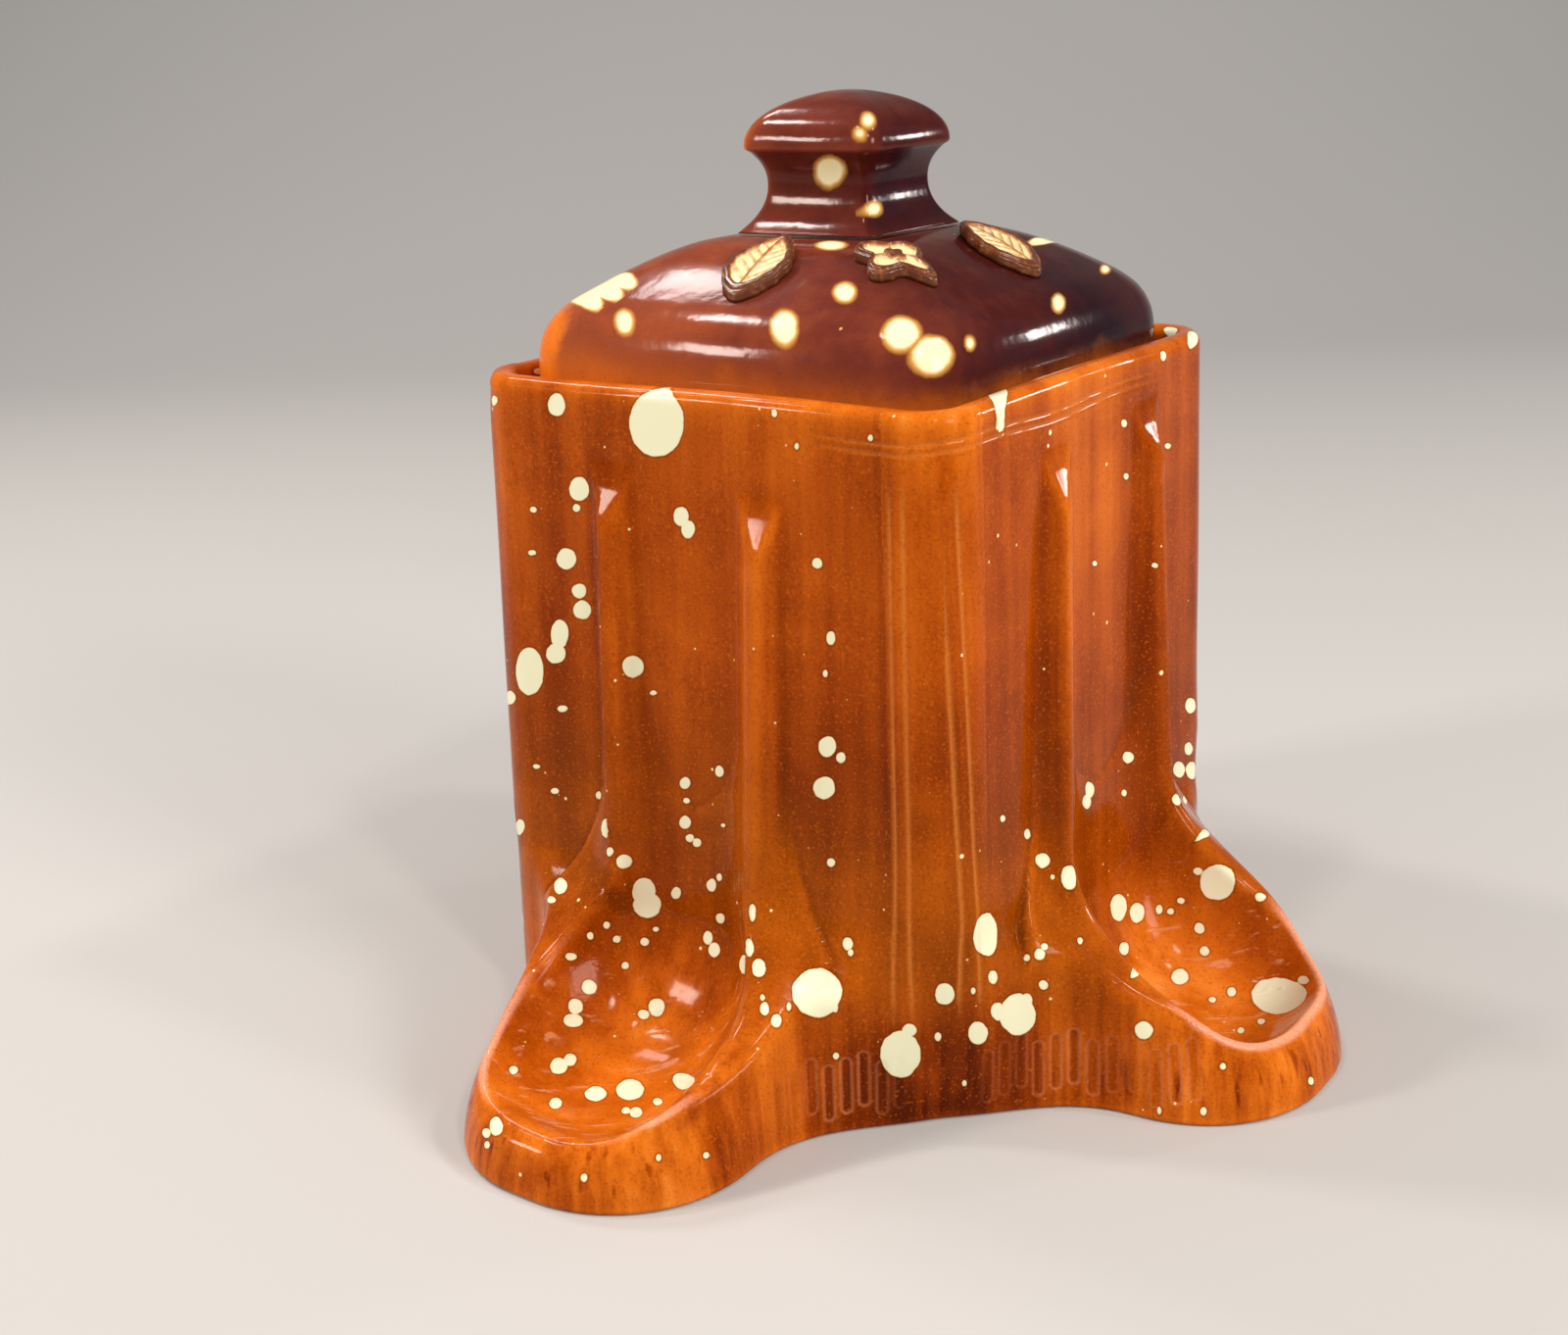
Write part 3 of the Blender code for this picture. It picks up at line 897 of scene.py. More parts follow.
    def finish(self, sockets: dict) -> bpy.types.Material:
        """Close the graph with one glossy surface.

        Args:
            sockets: Values or wires by input name.

        Returns:
            The material.
        """
        surface = self.node("ShaderNodeBsdfPrincipled", {}, sockets)
        self.node("ShaderNodeOutputMaterial", {}, {"Surface": surface})
        return self.material


@dataclass(frozen=True)
class Flutes:
    """Pill-shaped tool marks down the skirt between the spoon rests, side by side."""

    pitch: float = 3.7 * MM
    radius: float = 1.15 * MM
    level: float = 11 * MM
    half_tall: float = 5.2 * MM
    uneven: float = 1.4 * MM
    turn: float = 2.1
    depth: float = 0.35 * MM
    edge_span: Span = (0.4 * MM, -0.8 * MM)
    left_span: Span = (-38 * MM, -32 * MM)
    right_span: Span = (54 * MM, 46 * MM)
    corner_span: Span = (7 * MM, 11 * MM)
    outward_span: Span = (66 * MM, 72 * MM)
    strengths: Span = (0.62, 0.38)
    strength_phase: float = 0.8

    def _edge(self, points: Array) -> Array:
        """Distance from the nearest mark's edge.

        Args:
            points: Rows of X, Y and Z.

        Returns:
            The distances, negative inside.
        """
        x, y, z = points.T
        share = (x + y) / (ROOT_TWO * self.pitch)
        cell = np.floor(share)
        level = self.level + self.uneven * np.sin(cell * self.turn)
        above = np.maximum(np.abs(z - level) - self.half_tall, 0.0)
        return np.hypot((share - cell - 0.5) * self.pitch, above) - self.radius

    def strength(self, points: Array) -> Array:
        """How strong the marks are.

        Args:
            points: Rows of X, Y and Z.

        Returns:
            Shares from 0 to 1.
        """
        x, y, _ = points.T
        along = (x + y) / ROOT_TWO
        outward = (x - y) / ROOT_TWO
        span = eased(*self.left_span, along) * eased(*self.right_span, along)
        span = span * eased(*self.corner_span, np.abs(along))
        mean, swing = self.strengths
        uneven = mean + swing * np.sin(along / self.pitch + self.strength_phase)
        return uneven * span * eased(*self.outward_span, outward)

    def press(self, points: Array) -> Array:
        """Depth of the marks at rows of points."""
        return self.depth * (self.strength(points) * eased(*self.edge_span, self._edge(points)))

    def wire(self, graph: Graph) -> Wire:
        """The distance from the nearest mark's edge in millimetres, for a shader.

        Args:
            graph: Nodes to add to.

        Returns:
            The distance.
        """
        x, y, z = graph.parts(graph.place())
        share = (x + y) / (ROOT_TWO * self.pitch / MM)
        cell = graph.math("FLOOR", share)
        level = graph.math("SINE", cell * self.turn) * (self.uneven / MM) + self.level / MM
        above = graph.most(graph.absolute(z - level) - self.half_tall / MM, 0.0)
        aside = (share - cell - 0.5) * (self.pitch / MM)
        return graph.math("SQRT", aside * aside + above * above) - self.radius / MM


FLUTES = Flutes()


@dataclass(frozen=True)
class BodyGlaze:
    """Amber glaze of the crock: streaked, breaking orange on edges, spattered with cream slip.

    A span runs from where an effect starts to where it is full, in millimetres unless it is of fold
    or tilt.
    """

    name: str = "amber_glaze"
    pooled: Colour = shade(84, 25, 2)
    dark: Colour = shade(128, 46, 2)
    amber: Colour = shade(166, 71, 7)
    orange: Colour = shade(206, 102, 19)
    broken: Colour = shade(230, 132, 46)
    golden: Colour = shade(156, 84, 10)
    line: Colour = shade(216, 124, 48)
    # crest: painted pinkish highlight along the sharp lips and ledges
    crest: Colour = shade(232, 164, 132)
    # stroke: painted pinkish highlight along the tool strokes in the dishes
    stroke_highlight: Colour = shade(226, 150, 104)
    flute_line: Colour = shade(190, 112, 70)
    cream: Colour = shade(228, 224, 188)
    cream_edge: Colour = shade(206, 160, 86)
    ring: Colour = shade(84, 26, 6)
    clay: Colour = shade(196, 160, 120)
    gloss: float = 0.10
    bend: float = 1.16
    shine: Colour = (1.0, 0.80, 0.70, 1.0)
    run_stretch: Triple = (1.0, 1.0, 0.05)
    rim_span: Span = (141.0, 149.5)
    low_shade_spans: Spans = ((118.0, 66.0), (22.0, 40.0))
    skirt_span: Span = (34.0, 16.0)
    shared_span: Span = (46.0, 22.0)
    corner_spans: Spans = ((17.0, 3.0), (96.0, 106.0), (20.0, 50.0))
    channel_spans: Spans = ((24.0, 8.0), (54.0, 60.0))
    low_wall_spans: Spans = ((14.0, 44.0), (96.0, 52.0))
    nick_spans: Spans = ((3.0, 5.5), (15.0, 10.0))
    dish_light_tilt_span: Span = (0.3, 0.8)
    lip_highlight_spans: Spans = ((0.52, 0.90), (34.0, 22.0), (0.15, 0.55))
    bare_spans: Spans = ((-0.75, -0.9), (4.0, 2.0))
    stroke_turn: float = 0.72
    stroke_stretch: float = 7.0
    bump_height: float = 0.12 * MM
    bump_strength: float = 0.6

    def build(self) -> bpy.types.Material:
        """Make the material.

        Returns:
            The material.
        """
        graph = Graph(self.name)
        place = graph.place()
        runs = graph.place(self.run_stretch)
        x, y, level = graph.parts(place)
        fold, tilt, dished = (graph.kept(name) for name in ("fold", "tilt", "dished"))
        streak = graph.noise(runs, 13.0)
        fine_streak = graph.noise(runs, 2.4, rough=0.6)
        cloud = graph.noise(place, 46.0)
        mottle = graph.noise(place, 9.0, 3.0, 0.55)
        grain = graph.noise(place, 0.6, 1.0)

        # Tone: streaks and clouds, thin on ridges, painted shade low on the walls, painted light on up-facing
        # dish floors, dark round the shared skirt
        rim = graph.ease(*self.rim_span, level)
        ridge = graph.most(fold, 0.0) * 0.14
        hollow = graph.least(fold, 0.0) * 0.15
        # Painted shade: darker low on the walls, standing in for a dark reflection there
        low_shade = graph.within(self.low_shade_spans, level, level) * 0.15
        tone = 0.49 + streak * 0.75 + fine_streak * 0.20 + cloud * 0.42 + mottle * 0.26
        tone = tone + ridge + hollow + rim * 0.10 - low_shade + graph.kept("proud") * 0.04
        along = graph.absolute(x + y)
        skirt = graph.ease(*self.skirt_span, level) * (1.0 - dished)
        shared = graph.ease(*self.shared_span, along) * skirt
        corner = graph.within(self.corner_spans, along, x - y, level)
        tone = tone + skirt * (streak * 0.2 + fine_streak * 0.40 + 0.09)
        # Painted light: the dish floors are lighter where they face up
        tone = tone - shared * 0.42 + dished * graph.ease(*self.dish_light_tilt_span, tilt) * 0.20 + corner * 0.12
        channel = graph.within(self.channel_spans, graph.absolute(y), x)
        nicks = graph.ease(0.08, 0.22, graph.noise(runs, 2.0, 1.0))
        nicks = nicks * graph.ease(*self.nick_spans[0], level + cloud * 6.0)
        nicks = nicks * graph.ease(*self.nick_spans[1], level + mottle * 8.0) * (skirt - shared)
        tone = tone + channel * (1.0 - skirt) * 0.12 - nicks * 0.26

        # Colour: the tone on a ramp, then lines, painted highlights on the lips and on the brush strokes in
        # the dishes, and grain
        colour = graph.ramp(tone, [(0.0, self.pooled), (0.27, self.dark), (0.50, self.amber),
                                   (0.76, self.orange), (1.0, self.broken)])
        low_wall = graph.within(self.low_wall_spans, level, level)
        colour = graph.mix(low_wall * (0.24 + cloud * 0.9), colour, self.golden)
        colour = graph.mix(graph.kept("score") * 0.6, colour, self.line)
        outline = graph.ease(0.55, 0.10, graph.absolute(FLUTES.wire(graph)))
        colour = graph.mix(outline * graph.kept("fluted") * 0.5, colour, self.flute_line)
        # Painted highlight: a pinkish sheen on sharp lips and ledges that face partly up
        lip = graph.within(self.lip_highlight_spans, fold, level, tilt)
        colour = graph.mix(lip * 0.7, colour, self.crest)
        # Painted highlight along the tool strokes in the dishes; the same strokes also bump the surface below
        strokes_and_sheen = self._brushed(graph, dished)
        colour = graph.mix(strokes_and_sheen * 0.55, colour, self.stroke_highlight)
        shadow = graph.mix(0.5, colour, self.pooled)
        colour = graph.mix(graph.ease(0.02, 0.22, grain) * 0.55, colour, shadow)
        colour = graph.mix(graph.ease(-0.08, -0.26, grain) * 0.42, colour, self.orange)

        # Spatter of cream slip, and the bare foot
        drops = graph.drops()
        specks = graph.least(graph.specks(5.5, 0.62, 7.0), graph.specks(3.1, 0.34, 6.0))
        spots = graph.least(drops, specks)
        colour = graph.mix(graph.ease(0.55, 0.10, drops) * 0.5, colour, self.ring)
        colour = graph.mix(graph.ease(0.09, -0.03, spots), colour, self.cream_edge)
        colour = graph.mix(graph.ease(0.0, -0.20, spots), colour, self.cream)
        bare = graph.within(self.bare_spans, tilt, level)
        colour = graph.mix(bare, colour, self.clay)

        peel = graph.noise(place, 3.4) * 0.35 + graph.noise(runs, 2.2, 1.0) * 0.25
        relief = peel + graph.ease(0.25, -0.35, drops) * 0.6 + strokes_and_sheen * 2.4 - nicks * 0.9
        return graph.finish({
            "Base Color": colour,
            "Roughness": self.gloss + bare * 0.6 + grain * 0.03,
            "IOR": self.bend, "Specular Tint": self.shine,
            "Normal": graph.bump(relief, self.bump_height, self.bump_strength)})

    def _brushed(self, graph: Graph, dished: Wire) -> Wire:
        """Strokes that the tool left in the dishes, across the view: they bump the glaze and carry a painted
        highlight.

        Args:
            graph: Nodes to add to.
            dished: How far inside a dish a place lies.

        Returns:
            Their strength from 0 to 1.
        """
        sockets = {"Vector": graph.place(), "Rotation": (0.0, 0.0, self.stroke_turn),
                   "Scale": (self.stroke_stretch, 1.0, 1.0)}
        along = graph.node("ShaderNodeMapping", {"vector_type": "TEXTURE"}, sockets)
        return graph.ease(0.09, 0.24, graph.noise(along, 2.3)) * dished


@dataclass(frozen=True)
class LidGlaze:
    """Darker glaze of the lid and knob: chocolate, orange at its edge, with haloed cream drops and painted
    shade on the right.
    """

    name: str
    edge_level: float
    edge_height: float
    black: Colour = shade(24, 6, 18)
    dark: Colour = shade(66, 20, 16)
    brown: Colour = shade(106, 44, 30)
    russet: Colour = shade(150, 70, 38)
    orange: Colour = shade(222, 112, 26)
    halo: Colour = shade(220, 158, 70)
    cream: Colour = shade(242, 230, 180)
    gloss: float = 0.12
    bend: float = 1.21
    shine: Colour = (1.0, 0.84, 0.78, 1.0)
    pillow: float = 0.03
    bump_height: float = 0.10 * MM
    bump_strength: float = 0.5

    def build(self) -> bpy.types.Material:
        """Make the material.

        Returns:
            The material.
        """
        graph = Graph(self.name)
        place = graph.place()
        x, y, level = graph.parts(place)
        cloud = graph.noise(place, 26.0)
        mottle = graph.noise(place, 4.2, 3.0, 0.6)
        grain = graph.noise(place, 0.45, 1.0)
        # Painted shade: darker towards the right and back, and on faces that lean to the right
        side = x * 0.0036 + y * 0.0030 + graph.kept("aside") * 0.20
        tone = 0.46 + cloud * 0.5 + mottle * 0.25 + graph.kept("fold") * 0.26 - side
        colour = graph.ramp(tone, [(0.0, self.black), (0.3, self.dark), (0.58, self.brown),
                                   (0.86, self.russet), (1.0, self.orange)])
        thin = graph.ease(self.edge_level + self.edge_height, self.edge_level,
                          level + cloud * 9.0 + mottle * 5.0 + side * 8.0)
        colour = graph.mix(thin * 0.95, colour, self.orange)
        colour = graph.mix(graph.ease(0.05, 0.3, grain) * 0.3, colour, self.dark)

        drops = graph.drops() + mottle * 0.5
        specks = graph.specks(6.0, 0.6, 8.0)
        colour = graph.mix(graph.ease(1.3, 0.0, drops) * 0.75, colour, self.halo)
        colour = graph.mix(graph.ease(0.35, -0.7, drops), colour, self.cream)
        colour = graph.mix(graph.ease(0.08, -0.1, specks) * 0.9, colour, self.halo)
        peel = graph.noise(place, 3.0) + graph.noise(place, 15.0, 1.0) * 5.0
        peel = peel - (x * x + y * y) * self.pillow
        return graph.finish({
            "Base Color": colour, "Roughness": self.gloss + grain * 0.03,
            "IOR": self.bend, "Specular Tint": self.shine,
            "Normal": graph.bump(peel, self.bump_height, self.bump_strength)})


@dataclass(frozen=True)
class ReliefGlaze:
    """Cream slip pooled in a relief's field, worn to brown on its raised lines."""

    name: str = "relief_glaze"
    cream: Colour = shade(236, 214, 158)
    tan: Colour = shade(196, 142, 82)
    brown: Colour = shade(146, 86, 46)
    dark: Colour = shade(92, 46, 24)
    gloss: float = 0.2
    bend: float = 1.36
    bump_height: float = 0.10 * MM
    bump_strength: float = 0.5

    def build(self) -> bpy.types.Material:
        """Make the material.

        Returns:
            The material.
        """
        graph = Graph(self.name)
        mottle = graph.noise(graph.place(), 1.6, 3.0, 0.6)
        tone = graph.kept("cream") * 0.9 + mottle * 0.7 + 0.04
        stops = [(0.05, self.dark), (0.25, self.brown), (0.48, self.tan), (0.72, self.cream)]
        return graph.finish({
            "Base Color": graph.ramp(tone, stops), "Roughness": self.gloss, "IOR": self.bend,
            "Normal": graph.bump(mottle, self.bump_height, self.bump_strength)})


# Drops seen in the picture: pixels from its left and top, width and height
FRONT_WALL_DROPS: Drops = (
    (670, 432, 56, 68), (568, 413, 18, 23), (591, 499, 20, 25), (588, 518, 8, 8), (544, 520, 7, 6),
    (543, 564, 8, 6), (578, 570, 20, 22), (591, 603, 15, 15), (594, 622, 18, 19),
    (571, 647, 18, 29), (567, 667, 20, 20), (540, 685, 29, 48), (520, 712, 13, 14), (646, 680, 22, 22),
    (574, 723, 10, 7), (667, 707, 7, 5), (695, 527, 16, 20), (702, 540, 14, 18), (834, 575, 11, 11),
    (813, 455, 5, 7), (888, 447, 5, 6), (848, 651, 9, 14), (842, 687, 5, 7), (844, 762, 18, 21),
    (858, 773, 10, 11), (841, 804, 22, 23), (848, 880, 8, 9), (865, 963, 11, 13), (868, 972, 6, 8),
    (699, 799, 11, 12), (700, 817, 7, 6), (699, 839, 12, 13), (704, 855, 8, 9), (711, 860, 9, 9),
    (734, 787, 9, 12), (618, 845, 11, 20), (637, 879, 17, 14), (622, 869, 8, 9), (611, 811, 6, 8),
    (530, 844, 11, 16), (548, 782, 8, 5), (566, 807, 8, 6), (738, 842, 5, 4), (504, 409, 7, 10),
)
FRONT_DISH_DROPS: Drops = (
    (572, 904, 14, 17), (562, 918, 9, 7), (657, 909, 24, 26), (661, 923, 28, 26),
    (690, 911, 10, 12), (726, 903, 10, 13), (734, 895, 6, 8), (735, 937, 9, 11), (768, 931, 7, 17),
    (722, 957, 10, 14), (729, 969, 12, 15), (764, 967, 9, 18), (759, 984, 9, 20), (774, 988, 14, 19),
    (834, 1012, 51, 50), (805, 1027, 5, 8), (852, 1028, 7, 10), (780, 1029, 9, 14), (792, 1041, 11, 13),
    (778, 1018, 5, 7), (619, 944, 7, 8), (629, 958, 8, 7), (658, 961, 9, 8), (669, 948, 6, 5),
    (602, 955, 7, 8), (582, 976, 12, 8), (638, 985, 7, 7), (601, 1007, 15, 15), (587, 1027, 15, 16),
    (585, 1041, 20, 14), (670, 1028, 17, 18), (657, 1035, 12, 10), (570, 1088, 18, 17), (582, 1081, 13, 13),
    (524, 1092, 9, 8), (608, 1116, 22, 15), (643, 1112, 28, 22), (567, 1126, 13, 11), (649, 1135, 13, 11),
    (639, 1133, 10, 7), (671, 1124, 10, 8), (699, 1104, 22, 16), (506, 1149, 13, 20), (496, 1156, 8, 10),
    (497, 1168, 6, 8), (596, 1202, 7, 9), (721, 1179, 6, 7), (672, 1181, 6, 8),
)
SKIRT_DROPS: Drops = (
    (919, 1076, 41, 46), (928, 1051, 15, 14), (957, 1058, 7, 9), (964, 1014, 20, 22), (984, 1105, 5, 7),
    (853, 1077, 6, 7), (998, 1054, 20, 23), (1038, 1035, 36, 42), (1018, 1032, 14, 18), (1048, 1021, 12, 14),
    (1167, 1051, 19, 18), (1013, 997, 10, 14), (993, 1011, 5, 7), (1065, 1005, 10, 10), (1006, 953, 24, 44),
    (1061, 974, 11, 12), (1066, 966, 7, 7), (1048, 977, 6, 7), (1102, 960, 6, 7),
)
RIGHT_DROPS: Drops = (
    (1112, 806, 9, 17), (1109, 818, 9, 15), (1203, 785, 12, 16), (1216, 786, 12, 18), (1213, 764, 9, 13),
    (1215, 720, 11, 16), (1201, 816, 9, 12), (1209, 816, 8, 10), (1151, 773, 11, 12), (1147, 809, 6, 7),
    (1023, 835, 5, 7), (1048, 851, 6, 10), (1064, 878, 15, 15), (1091, 895, 16, 26), (1141, 926, 16, 28),
    (1160, 931, 15, 20), (1230, 850, 12, 9), (1242, 900, 36, 36), (1222, 889, 10, 8), (1183, 928, 7, 9),
    (1194, 930, 7, 7), (1205, 919, 7, 6), (1224, 947, 10, 11), (1229, 970, 10, 10), (1147, 968, 10, 13),
    (1159, 991, 8, 10), (1204, 997, 18, 16), (1257, 1012, 9, 9), (1237, 1020, 7, 6), (1307, 1019, 58, 36),
    (1330, 1000, 12, 9), (1287, 1042, 9, 6), (1266, 1051, 7, 7), (1286, 915, 11, 9),
    (1248, 1088, 7, 7), (1147, 432, 6, 8), (1192, 455, 6, 6), (1149, 486, 5, 6),
    (1117, 575, 5, 6), (1179, 577, 6, 5), (1183, 1133, 5, 9), (1228, 1134, 6, 8), (1338, 1103, 6, 8),
)
RIM_DROPS: Drops = (
    (556, 379, 22, 8), (583, 384, 14, 11), (837, 407, 22, 6), (1018, 401, 20, 27),
    (1037, 384, 24, 9), (1218, 344, 12, 18), (1195, 338, 14, 10), (1187, 363, 6, 10), (790, 422, 5, 8),
)
LID_DROPS: Drops = (
    (596, 303, 32, 20), (614, 293, 36, 22), (632, 284, 30, 18), (637, 328, 17, 22), (800, 333, 25, 34),
    (920, 339, 35, 30), (952, 361, 40, 36), (862, 298, 20, 18), (848, 250, 28, 12), (1080, 309, 11, 16),
    (1128, 274, 8, 8), (1065, 245, 28, 11), (1169, 300, 8, 12), (990, 350, 7, 10),
)
KNOB_DROPS: Drops = (
    (847, 174, 28, 28), (886, 122, 11, 13), (877, 136, 8, 8), (892, 213, 12, 12),
)


class Facing(Enum):
    """Wall that a spoon rest or a scored line belongs to."""

    FRONT = "front"
    RIGHT = "right"

    def local(self, points: Array, half: Array) -> tuple[Array, Array]:
        """Turn places on the crock into places at the wall.

        Args:
            points: Rows of X, Y and Z.
            half: Half the crock's width at each point.

        Returns:
            Distances across from the wall's centre line, positive towards the shared corner, and
            distances out from the wall.
        """
        x, y, _ = points.T
        if self is Facing.FRONT:
            return x, -y - half
        return -y, x - half


# Distances across a wall and out from it, and heights
Place = tuple[Array, Array, Array]


@dataclass(frozen=True)
class SpoonRest:
    """One spoon rest with the railed channel above it.

    The lip sweeps up to the wall on both sides, the far one and the one near the shared corner. A
    sweep falls off exponentially from the wall, and is given by its rise there and its decay length.
    """

    facing: Facing
    length: float
    rail_top: float
    far_sweep: Span
    near_sweep: Span
    half_width: float = 33 * MM
    nose_radius: float = 30 * MM
    draft: float = 0.03
    outer_slope: float = 0.27
    outer_span: Span = (20 * MM, 44 * MM)
    skirt_height: float = 34 * MM
    skirt_round: float = 2.6 * MM
    shoulder_low: float = 10.5 * MM
    shoulder_rise: float = 19 * MM
    shoulder_span: float = 26 * MM
    cove_rise: float = 14 * MM
    cove_decay: float = 5 * MM
    valley_round: float = 13 * MM
    corner_fillet: float = 27 * MM
    lip_height: float = 12.9 * MM
    lip_half: float = 1.2 * MM
    lip_flank: float = 17 * MM
    lip_round: float = 1.9 * MM
    lip_inset: float = 4.6 * MM
    lip_spread: float = 1.5 * MM
    lip_spread_span: Span = (46 * MM, 24 * MM)
    lip_span: Span = (62 * MM, 30 * MM)
    side_blend: float = 10 * MM
    dish_floor: float = 7.5 * MM
    dish_rise: float = 28 * MM
    dish_decay: float = 8 * MM
    dish_round_start: float = 28 * MM
    dish_power: float = 2.9
    greatest_share: float = 1.5
    channel_power: float = 4.0
    channel_span: Span = (45 * MM, 80 * MM)
    channel_floor: float = 0.3 * MM
    rail_height: float = 3.5 * MM
    rail_foot_height: float = 7.2 * MM
    rail_foot_level: float = 30 * MM
    rail_crest_half: float = 2 * MM
    rail_flank: float = 5.4 * MM
    rail_round: float = 1.7 * MM
    rail_middle: Span = (0.0, -2.5 * MM)
    rail_foot_offset: float = 23.5 * MM
    rail_top_offset: float = 20 * MM
    rail_top_slant: float = 8.4 * MM
    rail_tilt: float = 0.06
    rail_sink: float = 2.5 * MM
    rail_fillet: float = 1.2 * MM
    rail_fillet_span: Span = (4 * MM, 16 * MM)
    facet_round: float = 0.9 * MM
    steep_span: Span = (0.4, 1.6)
    least_slope: float = 0.5
    least_full: float = 1.0e-3
    nudge: float = 0.03 * MM

    def _rail_run(self, z: Array) -> Array:
        """Share of the way up a rail, 0 at its foot."""
        return np.clip((z - self.rail_foot_level) / (self.rail_top - self.rail_foot_level), 0.0, 1.0)

    def _rail_offset(self, z: Array) -> Array:
        """Distance from the rails' own middle to a rail's crest, or below to the lip."""
        rail = part_way(self.rail_foot_offset, self.rail_top_offset, self._rail_run(z))
        return rail + self.lip_spread * eased(*self.lip_spread_span, z)

    def _centred(self, across: Array, z: Array) -> Array:
        """Distance across from the rails' own middle."""
        foot, top = self.rail_middle
        return across - foot - (top - foot) * self._rail_run(z)

    def _high(self, z: Array) -> Array:
        """Share by which heights lie above the skirt."""
        return eased(self.skirt_height, 2.0 * self.skirt_height, z)

    def _sweep(self, across: Array, share: Numbers, z: Array) -> tuple[Numbers, ...]:
        """Sizes of the curve that sweeps from the wall down into the dish or along its lip.

        Args:
            across: Distances across.
            share: 0 in the middle of the dish, 1 on its lip.
            z: Heights.

        Returns:
            Level it settles at, rise above that at the wall, decay length and stand off the wall.
        """
        near = 0.5 + 0.5 * np.tanh(across / self.side_blend)
        lip_rise, lip_decay = (part_way(*ends, near) for ends in zip(self.far_sweep, self.near_sweep))
        crest = part_way(self.rail_foot_height, self.rail_height, self._rail_run(z))
        middle = (self.dish_floor, self.dish_rise, self.dish_decay, self.channel_floor)
        edge = (self.lip_height, lip_rise, lip_decay, crest)
        return tuple(part_way(start, end, share) for start, end in zip(middle, edge))

    def _ridge_sizes(self, place: Place) -> tuple[Numbers, ...]:
        """Sizes of the lip and rails.

        Args:
            place: Where.

        Returns:
            Level, rise, decay, stand, share of the full height, and distance out.
        """
        across, out, z = place
        past = np.abs(self._centred(across, z)) - self._rail_offset(z)
        apart = eased(*self.channel_span, z)
        broad = eased(*self.lip_span, z)
        crest = part_way(self.rail_crest_half, self.lip_half, broad)
        width = part_way(self.rail_flank, self.lip_flank, broad)
        fall = np.clip((np.maximum(past, -past * apart) - crest) / width, 0.0, 1.0)
        full = (1.0 - fall) * (1.0 - broad) + (1.0 - fall ** 2) * broad
        full = np.maximum(full, self.least_full)
        return *self._sweep(across, 1.0, z), full, out + self.rail_sink * (1.0 - full)

    def dish_share(self, place: Place) -> Array:
        """How near places are to the dish's lip.

        Args:
            place: Where.

        Returns:
            0 in the dish's middle, 1 on its lip, and a little more outside.
        """
        across, out, z = place
        side = np.abs(self._centred(across, z)) / (self._rail_offset(z) - 0.5 * self.rail_crest_half)
        reach = self.length - self.lip_inset - self.dish_round_start
        bulge = np.maximum(out - self.dish_round_start, 0.0) / reach
        power = part_way(self.dish_power, self.channel_power, self._high(z))
        return np.minimum(side ** power + bulge ** self.dish_power, self.greatest_share)

    def _dish_sizes(self, place: Place) -> tuple[Numbers, ...]:
        """Sizes of the dish and channel, as those of the lip and rails."""
        across, out, z = place
        return *self._sweep(self._centred(across, z), self.dish_share(place), z), np.ones_like(out), out

    @staticmethod
    def _by_out(sizes: tuple[Numbers, ...], z: Array) -> Array:
        """Distance out past a sweep, for where it is steep.

        Args:
            sizes: Sizes of the sweep.
            z: Heights.

        Returns:
            The distances.
        """
        level, rise, decay, stand, full, out = sizes
        curve = decay * np.log(np.maximum(rise / np.maximum(z - level, 1.0e-6), 1.0))
        return out - np.cbrt(stand ** 3 + curve ** 3) * full

    @staticmethod
    def _by_height(sizes: tuple[Numbers, ...], z: Array) -> Array:
        """Height above a sweep, for where it is shallow.

        Args:
            sizes: Sizes of the sweep.
            z: Heights.

        Returns:
            The heights above it.
        """
        level, rise, decay, stand, full, out = sizes
        curve = np.cbrt(np.maximum((out / full) ** 3 - stand ** 3, 0.0))
        return z - level - rise * np.exp(-curve / decay)

    def _to_scale(self, sizing: Callable[[Place], tuple[Numbers, ...]], place: Place) -> Array:
        """Distance to a swept surface, true near it whether it is steep or shallow.

        Args:
            sizing: Gives the sweep's sizes at places.
            place: Where.

        Returns:
            Distances, negative in the clay.
        """
        across, out, z = place
        step = self.nudge
        places = [place, (across + step, out, z), (across, out + step, z), (across, out, z + step)]
        sizes = [sizing(each) for each in places]
        forms = []
        for form in (self._by_out, self._by_height):
            values = [form(size, each[2]) for size, each in zip(sizes, places)]
            slope = np.sqrt(sum((value - values[0]) ** 2 for value in values[1:])) / step
            forms.append(values[0] / np.maximum(slope, self.least_slope))
        level, _, decay, *_ = sizes[0]
        steep = eased(*self.steep_span, (z - level) / decay)
        return forms[0] * steep + forms[1] * (1.0 - steep)

    def fillet(self, z: Array) -> Array:
        """Radius that runs the rails into the wall at a height, none beside the skirt."""
        low, high = self.rail_fillet_span
        return self.rail_fillet * eased(self.skirt_height + low, self.skirt_height + high, z)

